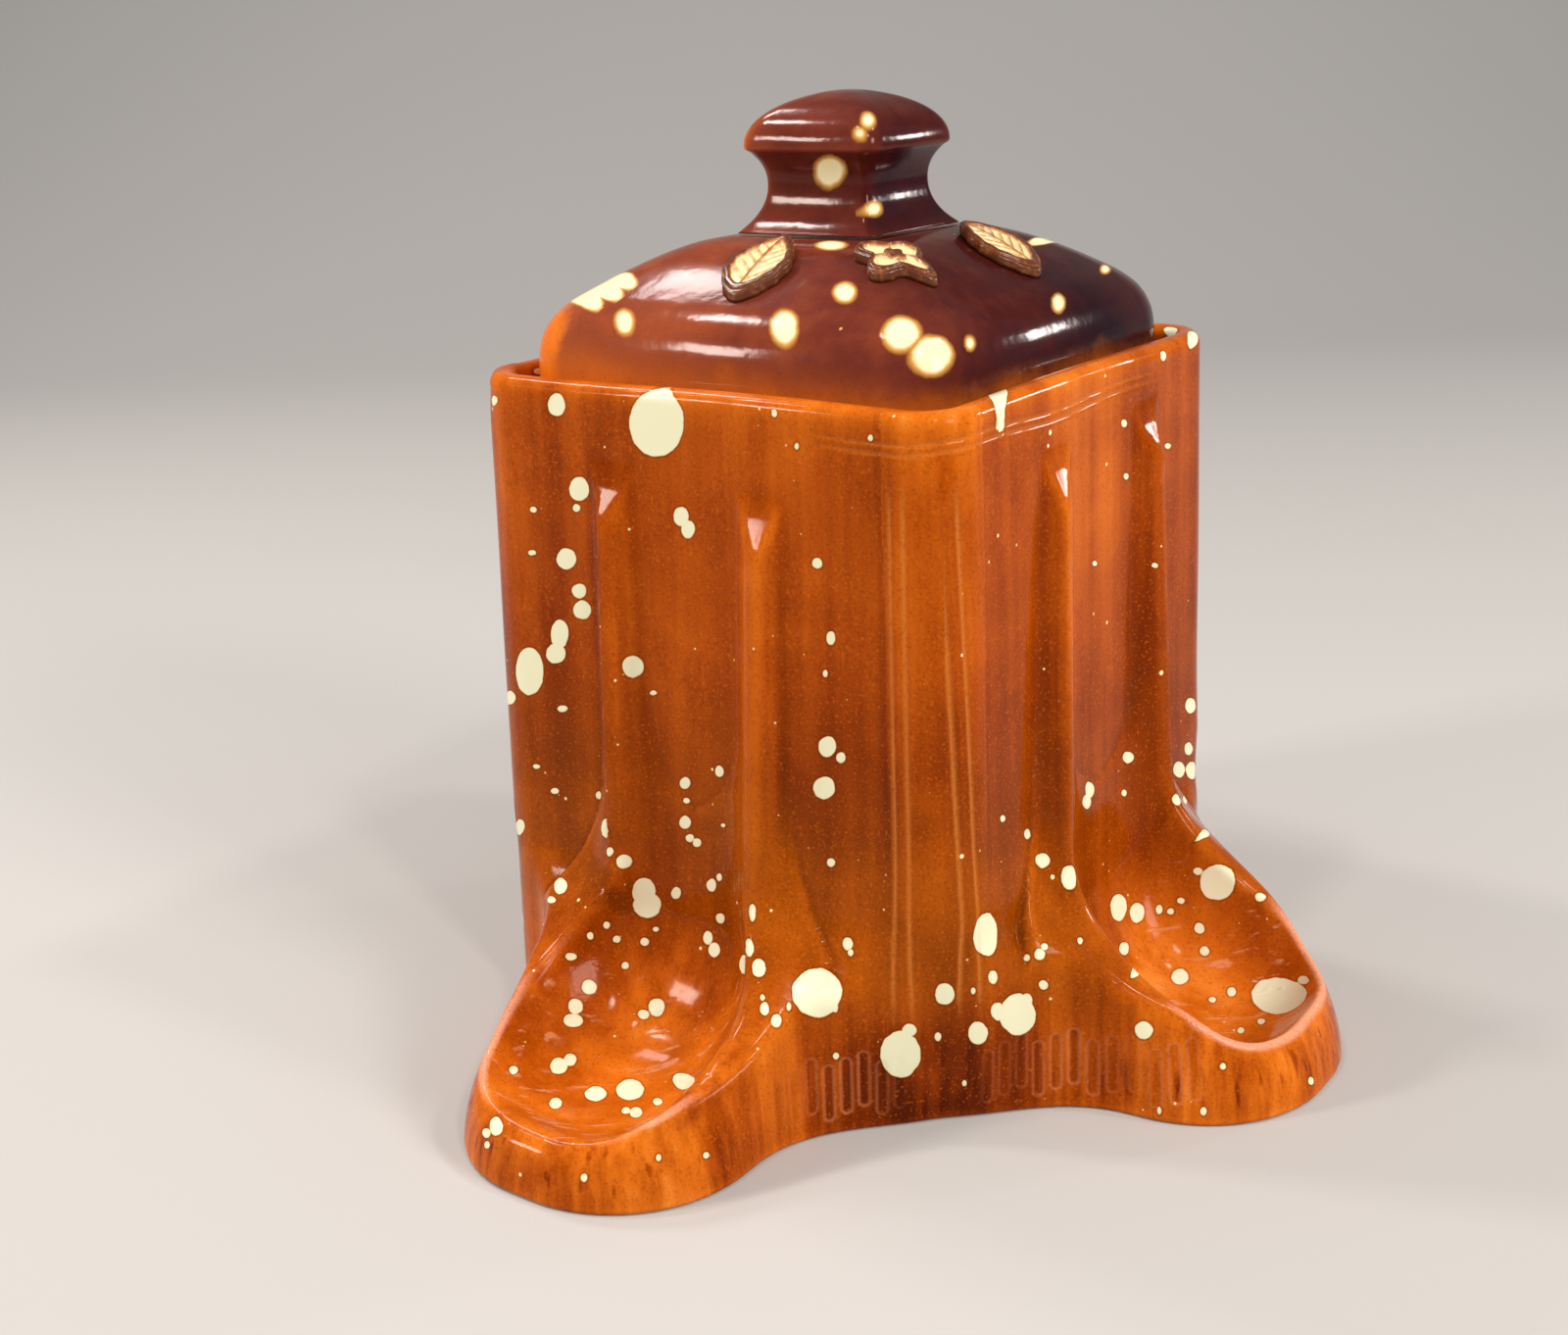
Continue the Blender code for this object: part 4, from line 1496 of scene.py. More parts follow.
    def mass(self, place: Place, wall: Array) -> Array:
        """Skirt, lip and rails before the dish is scooped out.

        Args:
            place: Where.
            wall: Distances from the crock's walls.

        Returns:
            Distances, negative inside.
        """
        across, out, z = place
        half = self.half_width - self.draft * np.minimum(z, self.skirt_height)
        length = self.length - self.draft * z
        plan = corner_distance(np.abs(across) - (half - self.nose_radius),
                               out - (length - self.nose_radius), self.nose_radius)
        level, rise, decay, _ = self._sweep(across, 1.0, z)
        reach = np.maximum(out, 0.0)
        lip = level + rise * np.exp(-reach / decay)
        drawn_in = self.outer_slope * np.minimum(z, lip) ** 2 / lip
        plan = plan + drawn_in * eased(*self.outer_span, out)
        plan = round_union(plan, wall, self.corner_fillet)
        fall = self.shoulder_rise / (1.0 + (reach / self.shoulder_span) ** 3)
        cove = self.cove_rise * np.exp(-reach / self.cove_decay)
        shoulder = (z - self.shoulder_low - fall - cove) / np.hypot(1.0, cove / self.cove_decay)
        ridge = self._to_scale(self._ridge_sizes, place)
        pitch = self.rail_height / self.rail_top_slant
        top = self.rail_top - self.rail_tilt * across
        facet = (out - (top - z) * pitch) / math.hypot(1.0, pitch)
        ridge = smooth_max(ridge, facet, self.facet_round)
        top = -smooth_max(-shoulder, -ridge, self.valley_round)
        return smooth_max(plan, top, self.skirt_round)

    def crest_round(self, z: Array) -> Array:
        """Width of the rounding along the lip, and along the sharper rails above it."""
        return part_way(self.lip_round, self.rail_round, self._high(z))

    def scoop(self, place: Place) -> Array:
        """Distance to the dish and channel, negative in the clay."""
        return self._to_scale(self._dish_sizes, place)


@dataclass(frozen=True)
class ScoredLine:
    """A fine line scored down a wall, by its distances across the wall at its ends."""

    facing: Facing
    top: float
    foot: float


@dataclass
class CrockBody(Piece):
    """The crock casting: four walls, floor, skirt, spoon rests and rails."""

    rim_height: float = 150 * MM
    rim_width: float = 120.6 * MM
    base_width: float = 125 * MM
    rim_corner_radius: float = 12 * MM
    base_corner_radius: float = 27 * MM
    corner_fade_height: float = 46 * MM
    corner_fade_power: float = 1.5
    corner_fade_width: float = 30 * MM
    wall: float = 6 * MM
    floor: float = 8 * MM
    floor_round: float = 6 * MM
    inner_corner_radius: float = 6 * MM
    rim_round: float = 3 * MM
    rim_wave: float = 0.9 * MM
    rim_wave_lengths: Span = (17 * MM, 21 * MM)
    rim_wave_phases: Span = (0.6, 1.9)
    base_round: float = 1.4 * MM
    scored_depth: float = 0.30 * MM
    scored_width: float = 0.45 * MM
    scored_span: Span = (28 * MM, 133 * MM)
    scored_end: float = 0.05
    scored_inset: float = 3 * MM
    ring_drops: tuple[float, ...] = (6.2 * MM, 8 * MM)
    ring_depth: float = 0.20 * MM
    ring_wave: float = 0.5 * MM
    ring_wave_length: float = 9 * MM
    ring_spans: Spans = ((20 * MM, 45 * MM), (35 * MM, 5 * MM))
    mass_reach: Span = (14 * MM, 32 * MM)
    scoop_reach: float = 4 * MM
    proud_side_span: Span = (3 * MM, 12 * MM)
    proud_span: Span = (26 * MM, 60 * MM)
    dished_share_span: Span = (1.0, 0.85)
    dished_out_span: Span = (4 * MM, 14 * MM)
    dished_span: Span = (46 * MM, 30 * MM)
    fold_reach: float = 1.6 * MM
    fold_radius: float = 2 * MM
    grid_step: float = 1.15 * MM
    quick_grid_step: float = 2 * MM
    grid_pad: float = 2.5 * MM
    rail_band: Span = (28 * MM, 70 * MM)
    front_line_band: Span = (46 * MM, 55 * MM)
    right_line_band: Span = (-60 * MM, -49 * MM)
    skirt_band_top: float = 34 * MM
    rim_band_low: float = 139 * MM
    rail_step_share: float = 0.6
    line_step_share: float = 0.42
    skirt_step_share: float = 0.75
    upright_step_share: float = 1.25
    warp: HandWarp = HandWarp(SEED, 90 * MM, 0.35 * MM)
    rests: tuple[SpoonRest, SpoonRest] = (
        SpoonRest(Facing.FRONT, 62.2 * MM, 129.4 * MM, (33 * MM, 26 * MM), (39 * MM, 17 * MM),
                  rail_middle=(-2.2 * MM, -1.1 * MM), rail_top_offset=19 * MM,
                  rail_foot_offset=17.9 * MM, lip_spread=7.1 * MM),
        SpoonRest(Facing.RIGHT, 54.5 * MM, 135 * MM, (44 * MM, 27 * MM), (41 * MM, 22 * MM)))
    scored: tuple[ScoredLine, ...] = (
        ScoredLine(Facing.FRONT, 48.1 * MM, 49 * MM),
        ScoredLine(Facing.FRONT, 51 * MM, 52.2 * MM),
        ScoredLine(Facing.RIGHT, 57.5 * MM, 55.4 * MM),
        ScoredLine(Facing.RIGHT, 54.3 * MM, 51.6 * MM))

    node = "crock_body"
    body = "crock"
    slip = Slip(SEED + 10, FRONT_WALL_DROPS + FRONT_DISH_DROPS + SKIRT_DROPS + RIGHT_DROPS + RIM_DROPS,
                150, (0.7 * MM, 5.5 * MM))

    def wall_half(self, z: Numbers) -> Numbers:
        """Half the outer width at a height."""
        return (self.base_width + (self.rim_width - self.base_width) * z / self.rim_height) / 2.0

    def _places(self, points: Array) -> list[tuple[SpoonRest, Place]]:
        """Each spoon rest, with rows of points turned into places at its wall."""
        half = self.wall_half(points[:, 2])
        return [(rest, (*rest.facing.local(points, half), points[:, 2])) for rest in self.rests]

    def _scoring(self, points: Array) -> Array:
        """Depth of the lines scored down the walls and round the rim.

        Args:
            points: Rows of X, Y and Z.

        Returns:
            Depths.
        """
        x, y, z = points.T
        low, high = self.scored_span
        run = (z - low) / (high - low)
        end = self.scored_end
        ends = eased(-end, end, run) * eased(1.0 + end, 1.0 - end, run)
        half = self.wall_half(z)
        depth = np.zeros_like(x)
        for line in self.scored:
            across, out = line.facing.local(points, half)
            close = bell(across - part_way(line.foot, line.top, run), self.scored_width)
            depth = np.maximum(depth, close * ends * (out > -self.scored_inset) * self.scored_depth)
        corner = eased(*self.ring_spans[0], x) * eased(*self.ring_spans[1], y)
        for drop in self.ring_drops:
            level = self.rim_height - drop + self.ring_wave * np.sin((x + y) / self.ring_wave_length)
            depth = np.maximum(depth, bell(z - level, self.scored_width) * corner * self.ring_depth)
        return depth

    def distance(self, points: Array) -> Array:
        """Distance to the crock's surface.

        Args:
            points: Rows of X, Y and Z.

        Returns:
            Distances, negative in the clay.
        """
        x, y, z = points.T
        half = self.wall_half(z)
        fade = np.clip(1.0 - z / self.corner_fade_height, 0.0, 1.0) ** self.corner_fade_power
        fade = fade * eased(0.0, self.corner_fade_width, x)
        fade = fade * eased(0.0, -self.corner_fade_width, y)
        radius = part_way(self.rim_corner_radius, self.base_corner_radius, fade)
        walls = square_distance(points, half, radius)
        solid = walls.copy()
        places = self._places(points)
        behind, beside = self.mass_reach
        for rest, place in places:
            near = (place[1] > -behind) & (np.abs(place[0]) < half + beside)
            mass = rest.mass(tuple(part[near] for part in place), walls[near])
            solid[near] = round_union(solid[near], mass, rest.fillet(z[near]))
        for rest, place in places:
            near = (place[1] > -self.scoop_reach) & (np.abs(place[0]) < half)
            scoop = rest.scoop(tuple(part[near] for part in place))
            solid[near] = smooth_max(solid[near], scoop, rest.crest_round(z[near]))
        solid = solid + self.warp(points) + self._scoring(points) + FLUTES.press(points)
        waves = [np.sin(part / length + phase) for part, length, phase
                 in zip((x, y), self.rim_wave_lengths, self.rim_wave_phases)]
        top = self.rim_height - self.rim_wave * (0.5 + 0.5 * (waves[0] * waves[1]))
        solid = smooth_max(solid, z - top, self.rim_round)
        solid = smooth_max(solid, -z, self.base_round)
        cavity = square_distance(points, half - self.wall, self.inner_corner_radius)
        cavity = smooth_max(cavity, self.floor - z, self.floor_round)
        return smooth_max(solid, -cavity, self.rim_round)

    def skin(self) -> Skin:
        """Skin the field on a grid that is finer along the scored lines, the skirt and the rim.

        Returns:
            The surface.
        """
        step = self.grid_step
        rail_step = step * self.rail_step_share
        line_step = step * self.line_step_share
        pad = self.grid_pad
        reach = self.base_width / 2.0 + pad
        top = self.rim_height + pad
        front, right = self.rests
        low, high = self.rail_band
        xs = FieldMesher.graded(-reach, reach + right.length, step,
                                (low, high, rail_step), (*self.front_line_band, line_step))
        ys = FieldMesher.graded(-reach - front.length, reach, step,
                                (-high, -low, rail_step), (*self.right_line_band, line_step))
        zs = FieldMesher.graded(-pad, top, step * self.upright_step_share,
                                (-pad, self.skirt_band_top, step * self.skirt_step_share),
                                (self.rim_band_low, top, line_step))
        return FieldMesher([xs, ys, zs], self.distance).skin()

    def _folds(self, points: Array) -> Array:
        """How sharply the surface bends: above 0 over ridges, below 0 in hollows.

        Args:
            points: Places on the surface.

        Returns:
            Shares from -1 to 1.
        """
        total = -6.0 * self.distance(points)
        for axis in range(3):
            for step in (self.fold_reach, -self.fold_reach):
                moved = points.copy()
                moved[:, axis] += step
                total = total + self.distance(moved)
        return np.tanh(total / self.fold_reach ** 2 * self.fold_radius)

    def _proud(self, points: Array) -> Array:
        """How far points stand out from the walls on the rails, where the glaze runs thin.

        Args:
            points: Rows of X, Y and Z.

        Returns:
            Shares of the rails' height.
        """
        z = points[:, 2]
        half = self.wall_half(z)
        near, far = self.proud_side_span
        proud = np.zeros_like(z)
        for rest, (across, out, _) in self._places(points):
            beside = eased(half - near, half - far, np.abs(across))
            proud = np.maximum(proud, np.clip(out / rest.rail_height, 0.0, 1.0) * beside)
        return proud * eased(*self.proud_span, z)

    def _dished(self, points: Array) -> Array:
        """How far inside the spoon rests' dishes points lie.

        Args:
            points: Rows of X, Y and Z.

        Returns:
            1 well inside a dish, 0 outside.
        """
        dished = np.zeros(len(points))
        for rest, place in self._places(points):
            inside = eased(*self.dished_share_span, rest.dish_share(place))
            dished = np.maximum(dished, inside * eased(*self.dished_out_span, place[1]))
        return dished * eased(*self.dished_span, points[:, 2])

    def kept(self) -> dict[str, Array]:
        """Folds, scoring, tool marks, rails, dishes and the way up, for the glaze."""
        points = self.shape.points
        return {"fold": self._folds(points), "score": self._scoring(points) / self.scored_depth,
                "fluted": FLUTES.strength(points), "proud": self._proud(points),
                "dished": self._dished(points), "tilt": self.shape.normals[:, 2]}

    def unseen(self, places: Array, facing: Array) -> Array:
        """Which faces lie on the left and back walls, from their middles and normals."""
        outside = np.maximum(-places[:, 0], places[:, 1]) > self.rim_width / 2.0 - 2 * MM
        return outside * (facing[:, 2] > -0.5) * 1.0


def ring_quads(rows: int, count: int, closed: bool) -> Array:
    """Faces between rings of points, which follow each other.

    Args:
        rows: How many rings.
        count: How many points each has.
        closed: Whether the last ring joins the first.

    Returns:
        Four point numbers a row.
    """
    here = np.arange(count)
    after = (here + 1) % count
    low = np.arange(rows if closed else rows - 1)[:, None] * count
    high = (low + count) % (rows * count)
    return np.stack([low + here, low + after, high + after, high + here], 2).reshape(-1, 4)


@dataclass(frozen=True)
class SquareLoft:
    """Rings of a rounded square, by segments a flat and a corner, skinned into a closed surface."""

    flat_steps: int
    corner_steps: int

    @property
    def count(self) -> int:
        """How many points a ring has."""
        return 4 * (self.flat_steps + self.corner_steps)

    def _ring(self, half: float, radius: float, level: float) -> Array:
        """Points of one ring, anticlockwise from above.

        Args:
            half: Half the width across the flats.
            radius: Corner radius.
            level: Height.

        Returns:
            Rows of points.
        """
        angles = np.linspace(0.0, math.pi / 2.0, self.corner_steps, endpoint=False)
        flat = np.linspace(half - radius, radius - half, self.flat_steps, endpoint=False)
        x = np.concatenate([half - radius + radius * np.cos(angles), flat])
        y = np.concatenate([half - radius + radius * np.sin(angles), np.full(self.flat_steps, half)])
        turned = [(x, y), (-y, x), (-x, -y), (y, -x)]
        return np.concatenate([np.stack([a, b, np.full(len(a), level)], 1) for a, b in turned])

    def skin(self, rings: list[Triple]) -> Skin:
        """Skin rings of a half width, corner radius and height, with the outside going up."""
        points = np.concatenate([self._ring(*ring) for ring in rings])
        return Skin(points, ring_quads(len(rings), self.count, True))


def refine(profile: list[Span], step: float) -> list[Span]:
    """Run a smooth curve through profile points.

    Args:
        profile: Pairs of half width and height.
        step: Distance between the new points.

    Returns:
        Pairs along the curve, the given ones near it.
    """
    knots = np.array(profile)
    ends = [2.0 * knots[0] - knots[1], 2.0 * knots[-1] - knots[-2]]
    rows = np.concatenate([[ends[0]], knots, [ends[1]]])
    curve = []
    for index in range(1, len(rows) - 2):
        before, start, end, beyond = rows[index - 1:index + 3]
        count = max(int(np.linalg.norm(end - start) / step), 2)
        for share in np.arange(count) / count:
            cubic = (2.0 * start + (end - before) * share
                     + (2.0 * before - 5.0 * start + 4.0 * end - beyond) * share ** 2
                     + (3.0 * start - before - 3.0 * end + beyond) * share ** 3)
            curve.append(tuple(0.5 * cubic))
    curve.append(tuple(knots[-1]))
    return curve


@dataclass
class LidLedge(Piece):
    """The clay strip inside the mouth that the lid sits on."""

    crock: CrockBody
    top: float = 142.6 * MM
    thickness: float = 5 * MM
    width: float = 5.2 * MM
    gap: float = 0.3 * MM
    round: float = 0.8 * MM
    round_share: float = 0.3
    fold_radius: float = 2 * MM
    loft: SquareLoft = SquareLoft(24, 8)

    node = "lid_ledge"
    body = "crock"
    lean = ("tilt", 2)
    slip = Slip(SEED + 11)

    def skin(self) -> Skin:
        """Loft the strip with rounded edges.

        Returns:
            The surface.
        """
        low = self.top - self.thickness
        outer = self.crock.wall_half(low) - self.crock.wall - self.gap
        outer_top = self.crock.wall_half(self.top) - self.crock.wall - self.gap
        inner = outer - self.width + self.gap
        ease = self.round
        part = self.round_share * ease
        profile = [(outer - ease, low), (outer, low + ease), (outer_top, self.top - ease),
                   (outer_top - ease, self.top), (inner + ease, self.top), (inner + part, self.top - part),
                   (inner, self.top - ease), (inner, low + ease), (inner + ease, low)]
        return self.loft.skin([(half, self.crock.inner_corner_radius, level) for half, level in profile])


@dataclass
class Lid(Piece):
    """The hollow domed lid; its side is given by distances out and up from the bottom edge."""

    low: float = 142.9 * MM
    half: float = 52.8 * MM
    rise: float = 32.6 * MM
    corner_radius: float = 13 * MM
    shell: float = 5.2 * MM
    shell_lean: float = 0.75
    crown_half: float = 19.5 * MM
    vent_half: float = 8 * MM
    vent_corner: float = 2 * MM
    vent_lip: float = 2 * MM
    foot_height: float = 4 * MM
    foot_flare: float = 0.4 * MM
    side: Spans = (
        (-1.3 * MM, 0.0), (-0.2 * MM, 1.3 * MM), (0.0, 7.2 * MM), (-0.7 * MM, 12.6 * MM),
        (-2.7 * MM, 17 * MM), (-6 * MM, 20.4 * MM))
    dome_shares: tuple[float, ...] = (0.16, 0.33, 0.55, 0.78, 1.0)
    dome_power: float = 1.55
    ring_step: float = 0.9 * MM
    height_step: float = 0.5 * MM
    warp: HandWarp = HandWarp(SEED + 1, 60 * MM, 0.25 * MM)
    warp_fade: float = 4 * MM
    fold_radius: float = 5 * MM
    loft: SquareLoft = SquareLoft(84, 20)

    node = "lid"
    slip = Slip(SEED + 12, LID_DROPS, 34, (0.8 * MM, 4 * MM))

    def profile(self) -> list[Span]:
        """Outer profile from the bottom edge to the crown.

        Returns:
            Pairs of half width and height.
        """
        points = [(self.half + out, self.low + level) for out, level in self.side]
        start_half, start_level = points[-1]
        crown = self.low + self.rise
        for share in self.dome_shares:
            climb = 1.0 - (1.0 - share) ** self.dome_power
            points.append((part_way(start_half, self.crown_half, share), part_way(start_level, crown, climb)))
        return points

    def _corner(self, half: float) -> float:
        """Corner radius at a half width."""
        return self.corner_radius * half / self.half

    def height(self, x: Array, y: Array) -> Array:
        """Height of the outer surface over points.

        Args:
            x: Points along X.
            y: Points along Y.

        Returns:
            Heights.
        """
        big = np.maximum(np.abs(x), np.abs(y))
        small = np.minimum(np.abs(x), np.abs(y))
        ratio = self.corner_radius / self.half
        flat = 1.0 - ratio
        a = 2.0 * flat * flat - ratio * ratio
        b = -2.0 * flat * (big + small)
        c = big * big + small * small
        corner = (-b - np.sqrt(np.maximum(b * b - 4.0 * a * c, 0.0))) / (2.0 * a)
        half = np.where(small > flat * big, corner, big)
        curve = np.array(refine(self.profile(), self.height_step))[::-1]
        return np.interp(half, curve[:, 0], curve[:, 1])

    def skin(self) -> Skin:
        """Loft the outside, the vent and the hollow inside.

        Returns:
            The surface.
        """
        outer = self.profile()
        crown = outer[-1][1]
        rings = [(half, self._corner(half), level) for half, level in refine(outer, self.ring_step)]
        rings += [(self.vent_half, self.vent_corner, level) for level in (crown, crown - self.shell)]
        for half, level in outer[:3:-1]:
            inner = max(half - self.shell_lean * self.shell, self.vent_half + self.vent_lip)
            rings.append((inner, self._corner(inner), level - self.shell))
        foot = self.half - self.shell
        rings += [(foot, self._corner(foot), self.low + self.foot_height),
                  (foot + self.foot_flare, self._corner(foot), self.low)]
        skin = self.loft.skin(rings)
        skin.sink(self.warp, self.low, self.warp_fade)
        return skin

    def unseen(self, places: Array, facing: Array) -> Array:
        """Which faces lie on the back and left of the outside, from their middles and normals."""
        outside = places[:, 2] > self.height(places[:, 0], places[:, 1]) - 2 * MM
        return (places[:, 1] - places[:, 0] > 14 * MM) * outside * (facing[:, 2] > -0.1) * 1.0


@dataclass
class Knob(Piece):
    """The hollow square knob: flared foot, waisted neck and pillow-shaped cap."""

    low: float = 175.8 * MM
    tall: float = 29 * MM
    waist: float = 10 * MM
    brim: float = 16.8 * MM
    foot_half: float = 18 * MM
    neck_half: float = 13.2 * MM
    cap_half: float = 17.2 * MM
    neck_corner: float = 2.2 * MM
    cap_corner: float = 4 * MM
    widest_corner: float = 0.6
    foot_power: float = 2.2
    foot_rings: int = 16
    under_inset: float = 0.8 * MM
    under_start: float = 0.92
    under_rings: int = 12
    brim_inset: float = 0.2 * MM
    brim_rise: float = 0.4 * MM
    cap_start: float = 1 * MM
    cap_powers: Span = (1.05, 0.95)
    cap_rings: int = 26
    tip_half: float = 0.15 * MM
    shell: float = 4.6 * MM
    hollow_inset: float = 2 * MM
    hollow_flare: float = 1 * MM
    bore_half: float = 8 * MM
    warp: HandWarp = HandWarp(SEED + 2, 40 * MM, 0.2 * MM)
    warp_fade: float = 3 * MM
    fold_radius: float = 3 * MM
    loft: SquareLoft = SquareLoft(26, 9)

    node = "lid_knob"
    slip = Slip(SEED + 13, KNOB_DROPS, 9, (0.8 * MM, 2.6 * MM))

    def _levels(self) -> list[float]:
        """Heights of the waist, of the cap's brim and of its top."""
        return [self.low + rise for rise in (self.waist, self.brim, self.tall)]

    def _outside(self) -> list[Span]:
        """Profile of the outside from the foot to the tip.

        Returns:
            Pairs of half width and height.
        """
        waist, brim, top = self._levels()
        outside = []
        for share in np.linspace(1.0, 0.0, self.foot_rings):
            half = part_way(self.neck_half, self.foot_half, share ** self.foot_power)
            outside.append((half, part_way(waist, self.low, share)))
        under = self.cap_half - self.under_inset - self.neck_half
        for share in np.linspace(self.under_start, 0.0, self.under_rings):
            outside.append((self.neck_half + under * (1.0 - share) ** 2.0, part_way(brim, waist, share)))
        outside.append((self.cap_half - self.brim_inset, brim + self.brim_rise))
        wide_power, tall_power = self.cap_powers
        for angle in np.linspace(math.pi / 2.0, 0.0, self.cap_rings):
            half = max(self.cap_half * math.sin(angle) ** wide_power, self.tip_half)
            climb = max(math.cos(angle), 0.0) ** tall_power
            outside.append((half, brim + self.cap_start + (top - brim - self.cap_start) * climb))
        return outside

    def skin(self) -> Skin:
        """Loft the outside and the hollow inside, each closed at its top.

        Returns:
            The surface.
        """
        waist, brim, top = self._levels()
        outside = self._outside()
        rings = []
        for half, level in outside:
            corner = part_way(self.neck_corner, self.cap_corner, eased(waist, brim, level))
            rings.append((half, min(corner, self.widest_corner * half), level))
        inner = self.neck_half - self.shell
        ceiling = top - self.shell
        inside = [(self.tip_half, ceiling), (inner - self.hollow_inset, ceiling),
                  (inner + self.hollow_flare, brim), (inner, waist), (self.bore_half, self.low)]
        rings += [(half, min(self.neck_corner, self.widest_corner * half), level) for half, level in inside]
        skin = self.loft.skin(rings)
        count = self.loft.count
        tip, hollow_tip = (len(outside) - 1) * count, len(outside) * count
        skin.quads = np.delete(skin.quads, np.arange(tip, hollow_tip), 0)
        around = np.arange(count)
        skin.caps = [(around + tip).tolist(), (around + hollow_tip)[::-1].tolist()]
        skin.sink(self.warp, self.low, self.warp_fade)
        return skin

    def unseen(self, places: Array, facing: Array) -> Array:
        """Which faces lie on the back and left of the outside, from their middles and normals."""
        outward = np.sum(places[:, :2] * facing[:, :2], 1) > -0.2 * MM
        return outward * (places[:, 1] - places[:, 0] > 6 * MM) * (facing[:, 2] > -0.3) * 1.0


class Motif(Enum):
    """Generic ornament of an applied relief."""

    LEAF = "leaf"
    BLOSSOM = "blossom"


@dataclass
class Relief(Piece):
    """One applied relief on the lid: raised border, sunk field, and ribs or petals."""

    node: str
    motif: Motif
    lid: Lid
    centre: Span
    heading: float
    length: float = 18.5 * MM
    width: float = 15 * MM
    lift: float = 0.3 * MM
    border: float = 2.4 * MM
    border_span: Span = (0.72, 0.84)
    border_end: Span = (1.1, 0.95)
    edge_drop: float = 0.5 * MM
    edge_span: Span = (0.93, 1.0)
    field_level: float = 1.2 * MM
    rib: float = 0.9 * MM
    midrib_width: float = 0.55 * MM
    vein_width: float = 0.38 * MM
    vein_spacing: float = 2.4
    vein_reach: float = 6.0
    seam_width: float = 0.45 * MM
    innermost: float = 0.02
    skirt: Spans = (
        (1.012, 0.8), (1.02, 0.5), (1.025, 0.2), (1.025, -0.1), (0.5, -0.1), (0.02, -0.1))
    spokes: int = 120
    rounds: int = 34

    def _outline(self, angle: Array) -> tuple[Array, Array]:
        """Edge of the ornament as shares of its half length and half width.

        Args:
            angle: Angles round it.

        Returns:
            Shares along and across.
        """
        if self.motif is Motif.LEAF:
            along = np.cos(angle)
            ripple = 1.0 - 0.035 * (1.0 + np.cos(14.0 * angle))
            return along, np.sin(angle) * (1.0 - 0.35 * along ** 2) * (1.0 - 0.18 * along) * ripple
        reach = 0.80 + 0.20 * np.cos(4.0 * angle)
        return reach * np.cos(angle), reach * np.sin(angle)

    def _ribs(self, along: Array, across: Array, angle: Array, share: float) -> Array:
        """Raised lines inside the field.

        Args:
            along: Distances along.
            across: Distances across.
            angle: Angles round the centre.
            share: Share of the way out to the edge.

        Returns:
            Shares of a full rib.
        """
        if self.motif is Motif.LEAF:
            ribs = bell(across, self.midrib_width)
            for start in np.arange(-self.vein_reach, self.vein_reach, self.vein_spacing) * MM:
                off = (along - start - 0.8 * np.abs(across)) * 0.75
                ribs = np.maximum(ribs, 0.7 * bell(off, self.vein_width))
            return ribs
        middle = eased(0.34, 0.24, share)
        seam = np.abs(np.sin(2.0 * angle + math.pi / 2.0)) * share * self.width * 0.25
        return np.maximum(middle * 1.3, bell(seam, self.seam_width) * eased(0.2, 0.4, share))

    def skin(self) -> Skin:
        """Make the relief over the lid's surface, noting how far each point lies in its field.

        Returns:
            The surface.
        """
        angle = np.arange(self.spokes) / self.spokes * FULL_TURN
        edge = self._outline(angle)
        layers = [(share, None) for share in np.linspace(self.innermost, 1.0, self.rounds)]
        layers += self.skirt
        rows = []
        depth = []
        turn = (math.cos(self.heading), math.sin(self.heading))
        for share, side in layers:
            along = edge[0] * share * self.length / 2.0
            across = edge[1] * share * self.width / 2.0
            x = self.centre[0] + along * turn[0] - across * turn[1]
            y = self.centre[1] + along * turn[1] + across * turn[0]
            rib = self._ribs(along, across, angle, share) * self.rib / (self.border - self.field_level)
            rim = eased(*self.border_span, share) * eased(*self.border_end, share)
            raised = np.minimum(np.maximum(rib, rim), 1.0)
            level = part_way(self.field_level, self.border, raised)
            level = level - self.edge_drop * eased(*self.edge_span, share)
            if side is not None:
                level = self.border * side
            rows.append(np.stack([x, y, self.lid.height(x, y) + self.lift + level], 1))
            depth.append((1.0 - raised) * (side is None))
        quads = ring_quads(len(rows), self.spokes, False)[:, [0, 3, 2, 1]]
        here = np.arange(self.spokes)
        caps = [here.tolist(), (here[::-1] + (len(rows) - 1) * self.spokes).tolist()]
        self.cream = np.concatenate(depth)
        return Skin(np.concatenate(rows), quads, caps=caps)

    def kept(self) -> dict[str, Array]:
        """How far each point lies in the field, for the glaze."""
        return {"cream": self.cream}


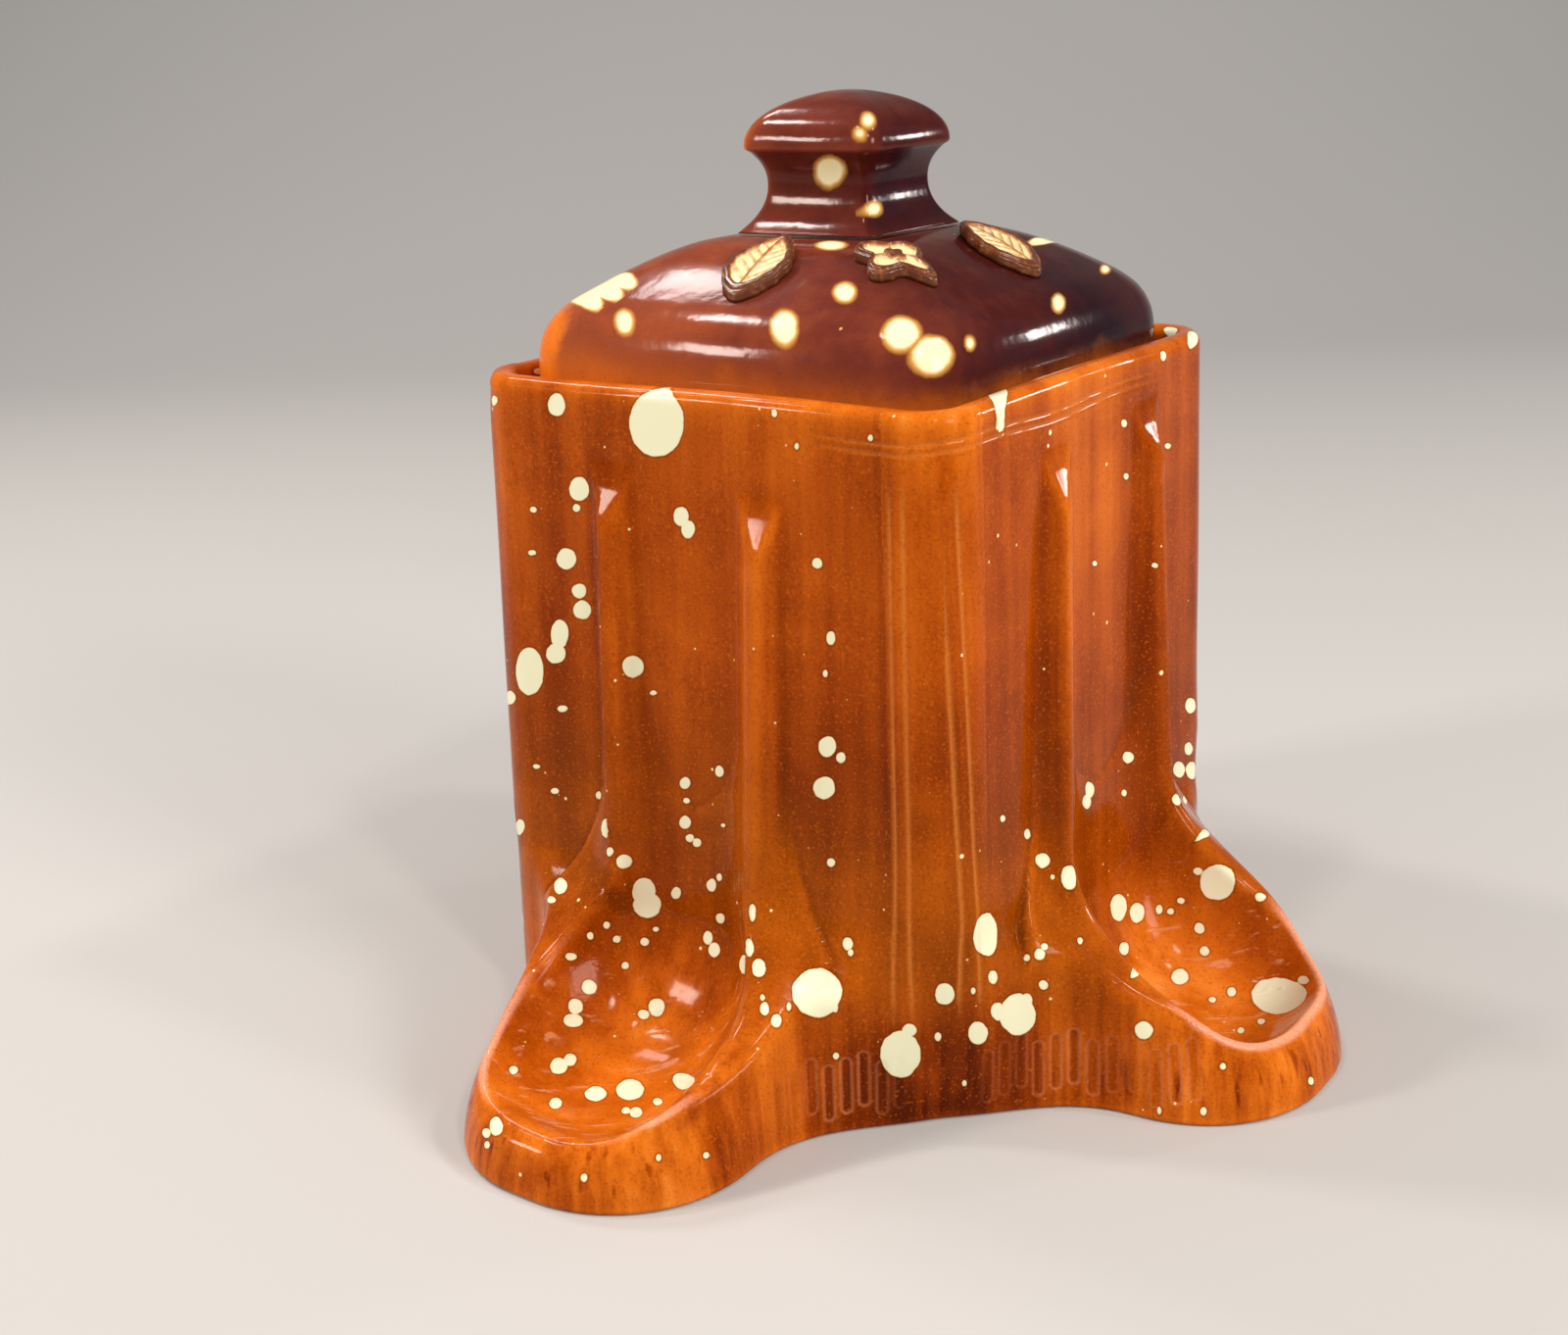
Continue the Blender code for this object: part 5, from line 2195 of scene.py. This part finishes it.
@dataclass(frozen=True)
class Studio:
    """Pale floor and soft lights."""

    floor_colour: Colour = shade(186, 182, 176)
    floor_half: float = 3.0
    bend_start: float = 0.9
    bend_radius: float = 0.8
    bend_steps: int = 24
    paper_roughness: float = 0.85
    wall_height: float = 2.2
    sky_colour: Colour = (0.86, 0.91, 1.0, 1.0)
    sky_strength: float = 0.38
    lamps: tuple[Lamp, ...] = (
        Lamp("window", -102.0, 50.0, 0.20, 32.0, (1.0, 0.94, 0.92)),
        Lamp("pane", -68.0, 52.0, 0.11, 100.0, (1.0, 0.95, 0.92)),
        Lamp("front", -39.0, 22.0, 0.18, 76.0, (1.0, 0.95, 0.90)),
        Lamp("glint", 62.0, 47.0, 0.09, 120.0, (1.0, 0.95, 0.88)),
        Lamp("right", 84.0, 26.0, 0.34, 27.0, (1.0, 0.97, 0.94)),
        Lamp("above", -12.0, 68.0, 0.10, 80.0, (1.0, 0.96, 0.93)),
        Lamp("over", 112.0, 53.0, 0.10, 90.0, (1.0, 0.96, 0.93)),
        Lamp("behind", 148.0, 13.0, 0.12, 50.0, (1.0, 0.98, 0.95)))

    def _sweep(self) -> None:
        """Lay a pale floor that curves up into a backdrop far behind."""
        line = [(-self.floor_half, 0.0), (self.bend_start, 0.0)]
        for step in range(1, self.bend_steps + 1):
            turn = math.pi / 2.0 * step / self.bend_steps
            line.append((self.bend_start + self.bend_radius * math.sin(turn),
                         self.bend_radius * (1.0 - math.cos(turn))))
        line.append((line[-1][0], self.wall_height))
        right, _, ahead = PictureCamera().axes()
        deep = Vector((ahead.x, ahead.y, 0.0)).normalized()
        side = Vector((right.x, right.y, 0.0)).normalized() * self.floor_half
        points = []
        for distance, height in line:
            middle = deep * distance + Vector((0.0, 0.0, height))
            points += [middle - side, middle + side]
        faces = [(2 * row, 2 * row + 1, 2 * row + 3, 2 * row + 2) for row in range(len(line) - 1)]
        mesh = bpy.data.meshes.new("floor")
        mesh.from_pydata(points, [], faces)
        mesh.polygons.foreach_set("use_smooth", np.ones(len(faces), bool))
        floor = bpy.data.objects.new("floor", mesh)
        bpy.context.scene.collection.objects.link(floor)
        paper = {"Base Color": self.floor_colour, "Roughness": self.paper_roughness}
        mesh.materials.append(Graph("floor_paper").finish(paper))

    def build(self) -> None:
        """Lay the floor and set the lights."""
        self._sweep()
        for lamp in self.lamps:
            lamp.build()
        world = bpy.data.worlds.new("studio")
        world.use_nodes = True
        sky = world.node_tree.nodes["Background"]
        sky.inputs["Color"].default_value = self.sky_colour
        sky.inputs["Strength"].default_value = self.sky_strength
        bpy.context.scene.world = world
        bpy.context.scene.view_settings.view_transform = "Standard"


def main() -> None:
    """Build every piece in order, dress it, and set the studio round it."""
    logging.basicConfig(level=logging.INFO, format="%(name)s: %(message)s")
    camera = PictureCamera()
    amber = BodyGlaze().build()
    chocolate = LidGlaze("lid_glaze", edge_level=141.0, edge_height=15.0).build()
    knob_glaze = LidGlaze("knob_glaze", edge_level=170.0, edge_height=2.0).build()
    slip = ReliefGlaze().build()
    crock = CrockBody()
    lid = Lid()
    pieces = [
        (crock, amber),
        (LidLedge(crock), amber),
        (lid, chocolate),
        (Knob(), knob_glaze),
        (Relief("relief_front", Motif.LEAF, lid, (1 * MM, -34.5 * MM), math.radians(90.0)), slip),
        (Relief("relief_corner", Motif.BLOSSOM, lid, (30 * MM, -28.5 * MM), 0.0), slip),
        (Relief("relief_right", Motif.LEAF, lid, (33.5 * MM, 7 * MM), math.radians(180.0)), slip),
    ]
    for piece, finish in pieces:
        piece.build()
        piece.dress(finish, camera)
        LOG.info("%s: %d points, %s", piece.piece.name, len(piece.shape.points), finish.name)
    Studio().build()
    camera.build()


if __name__ == "__main__":
    main()
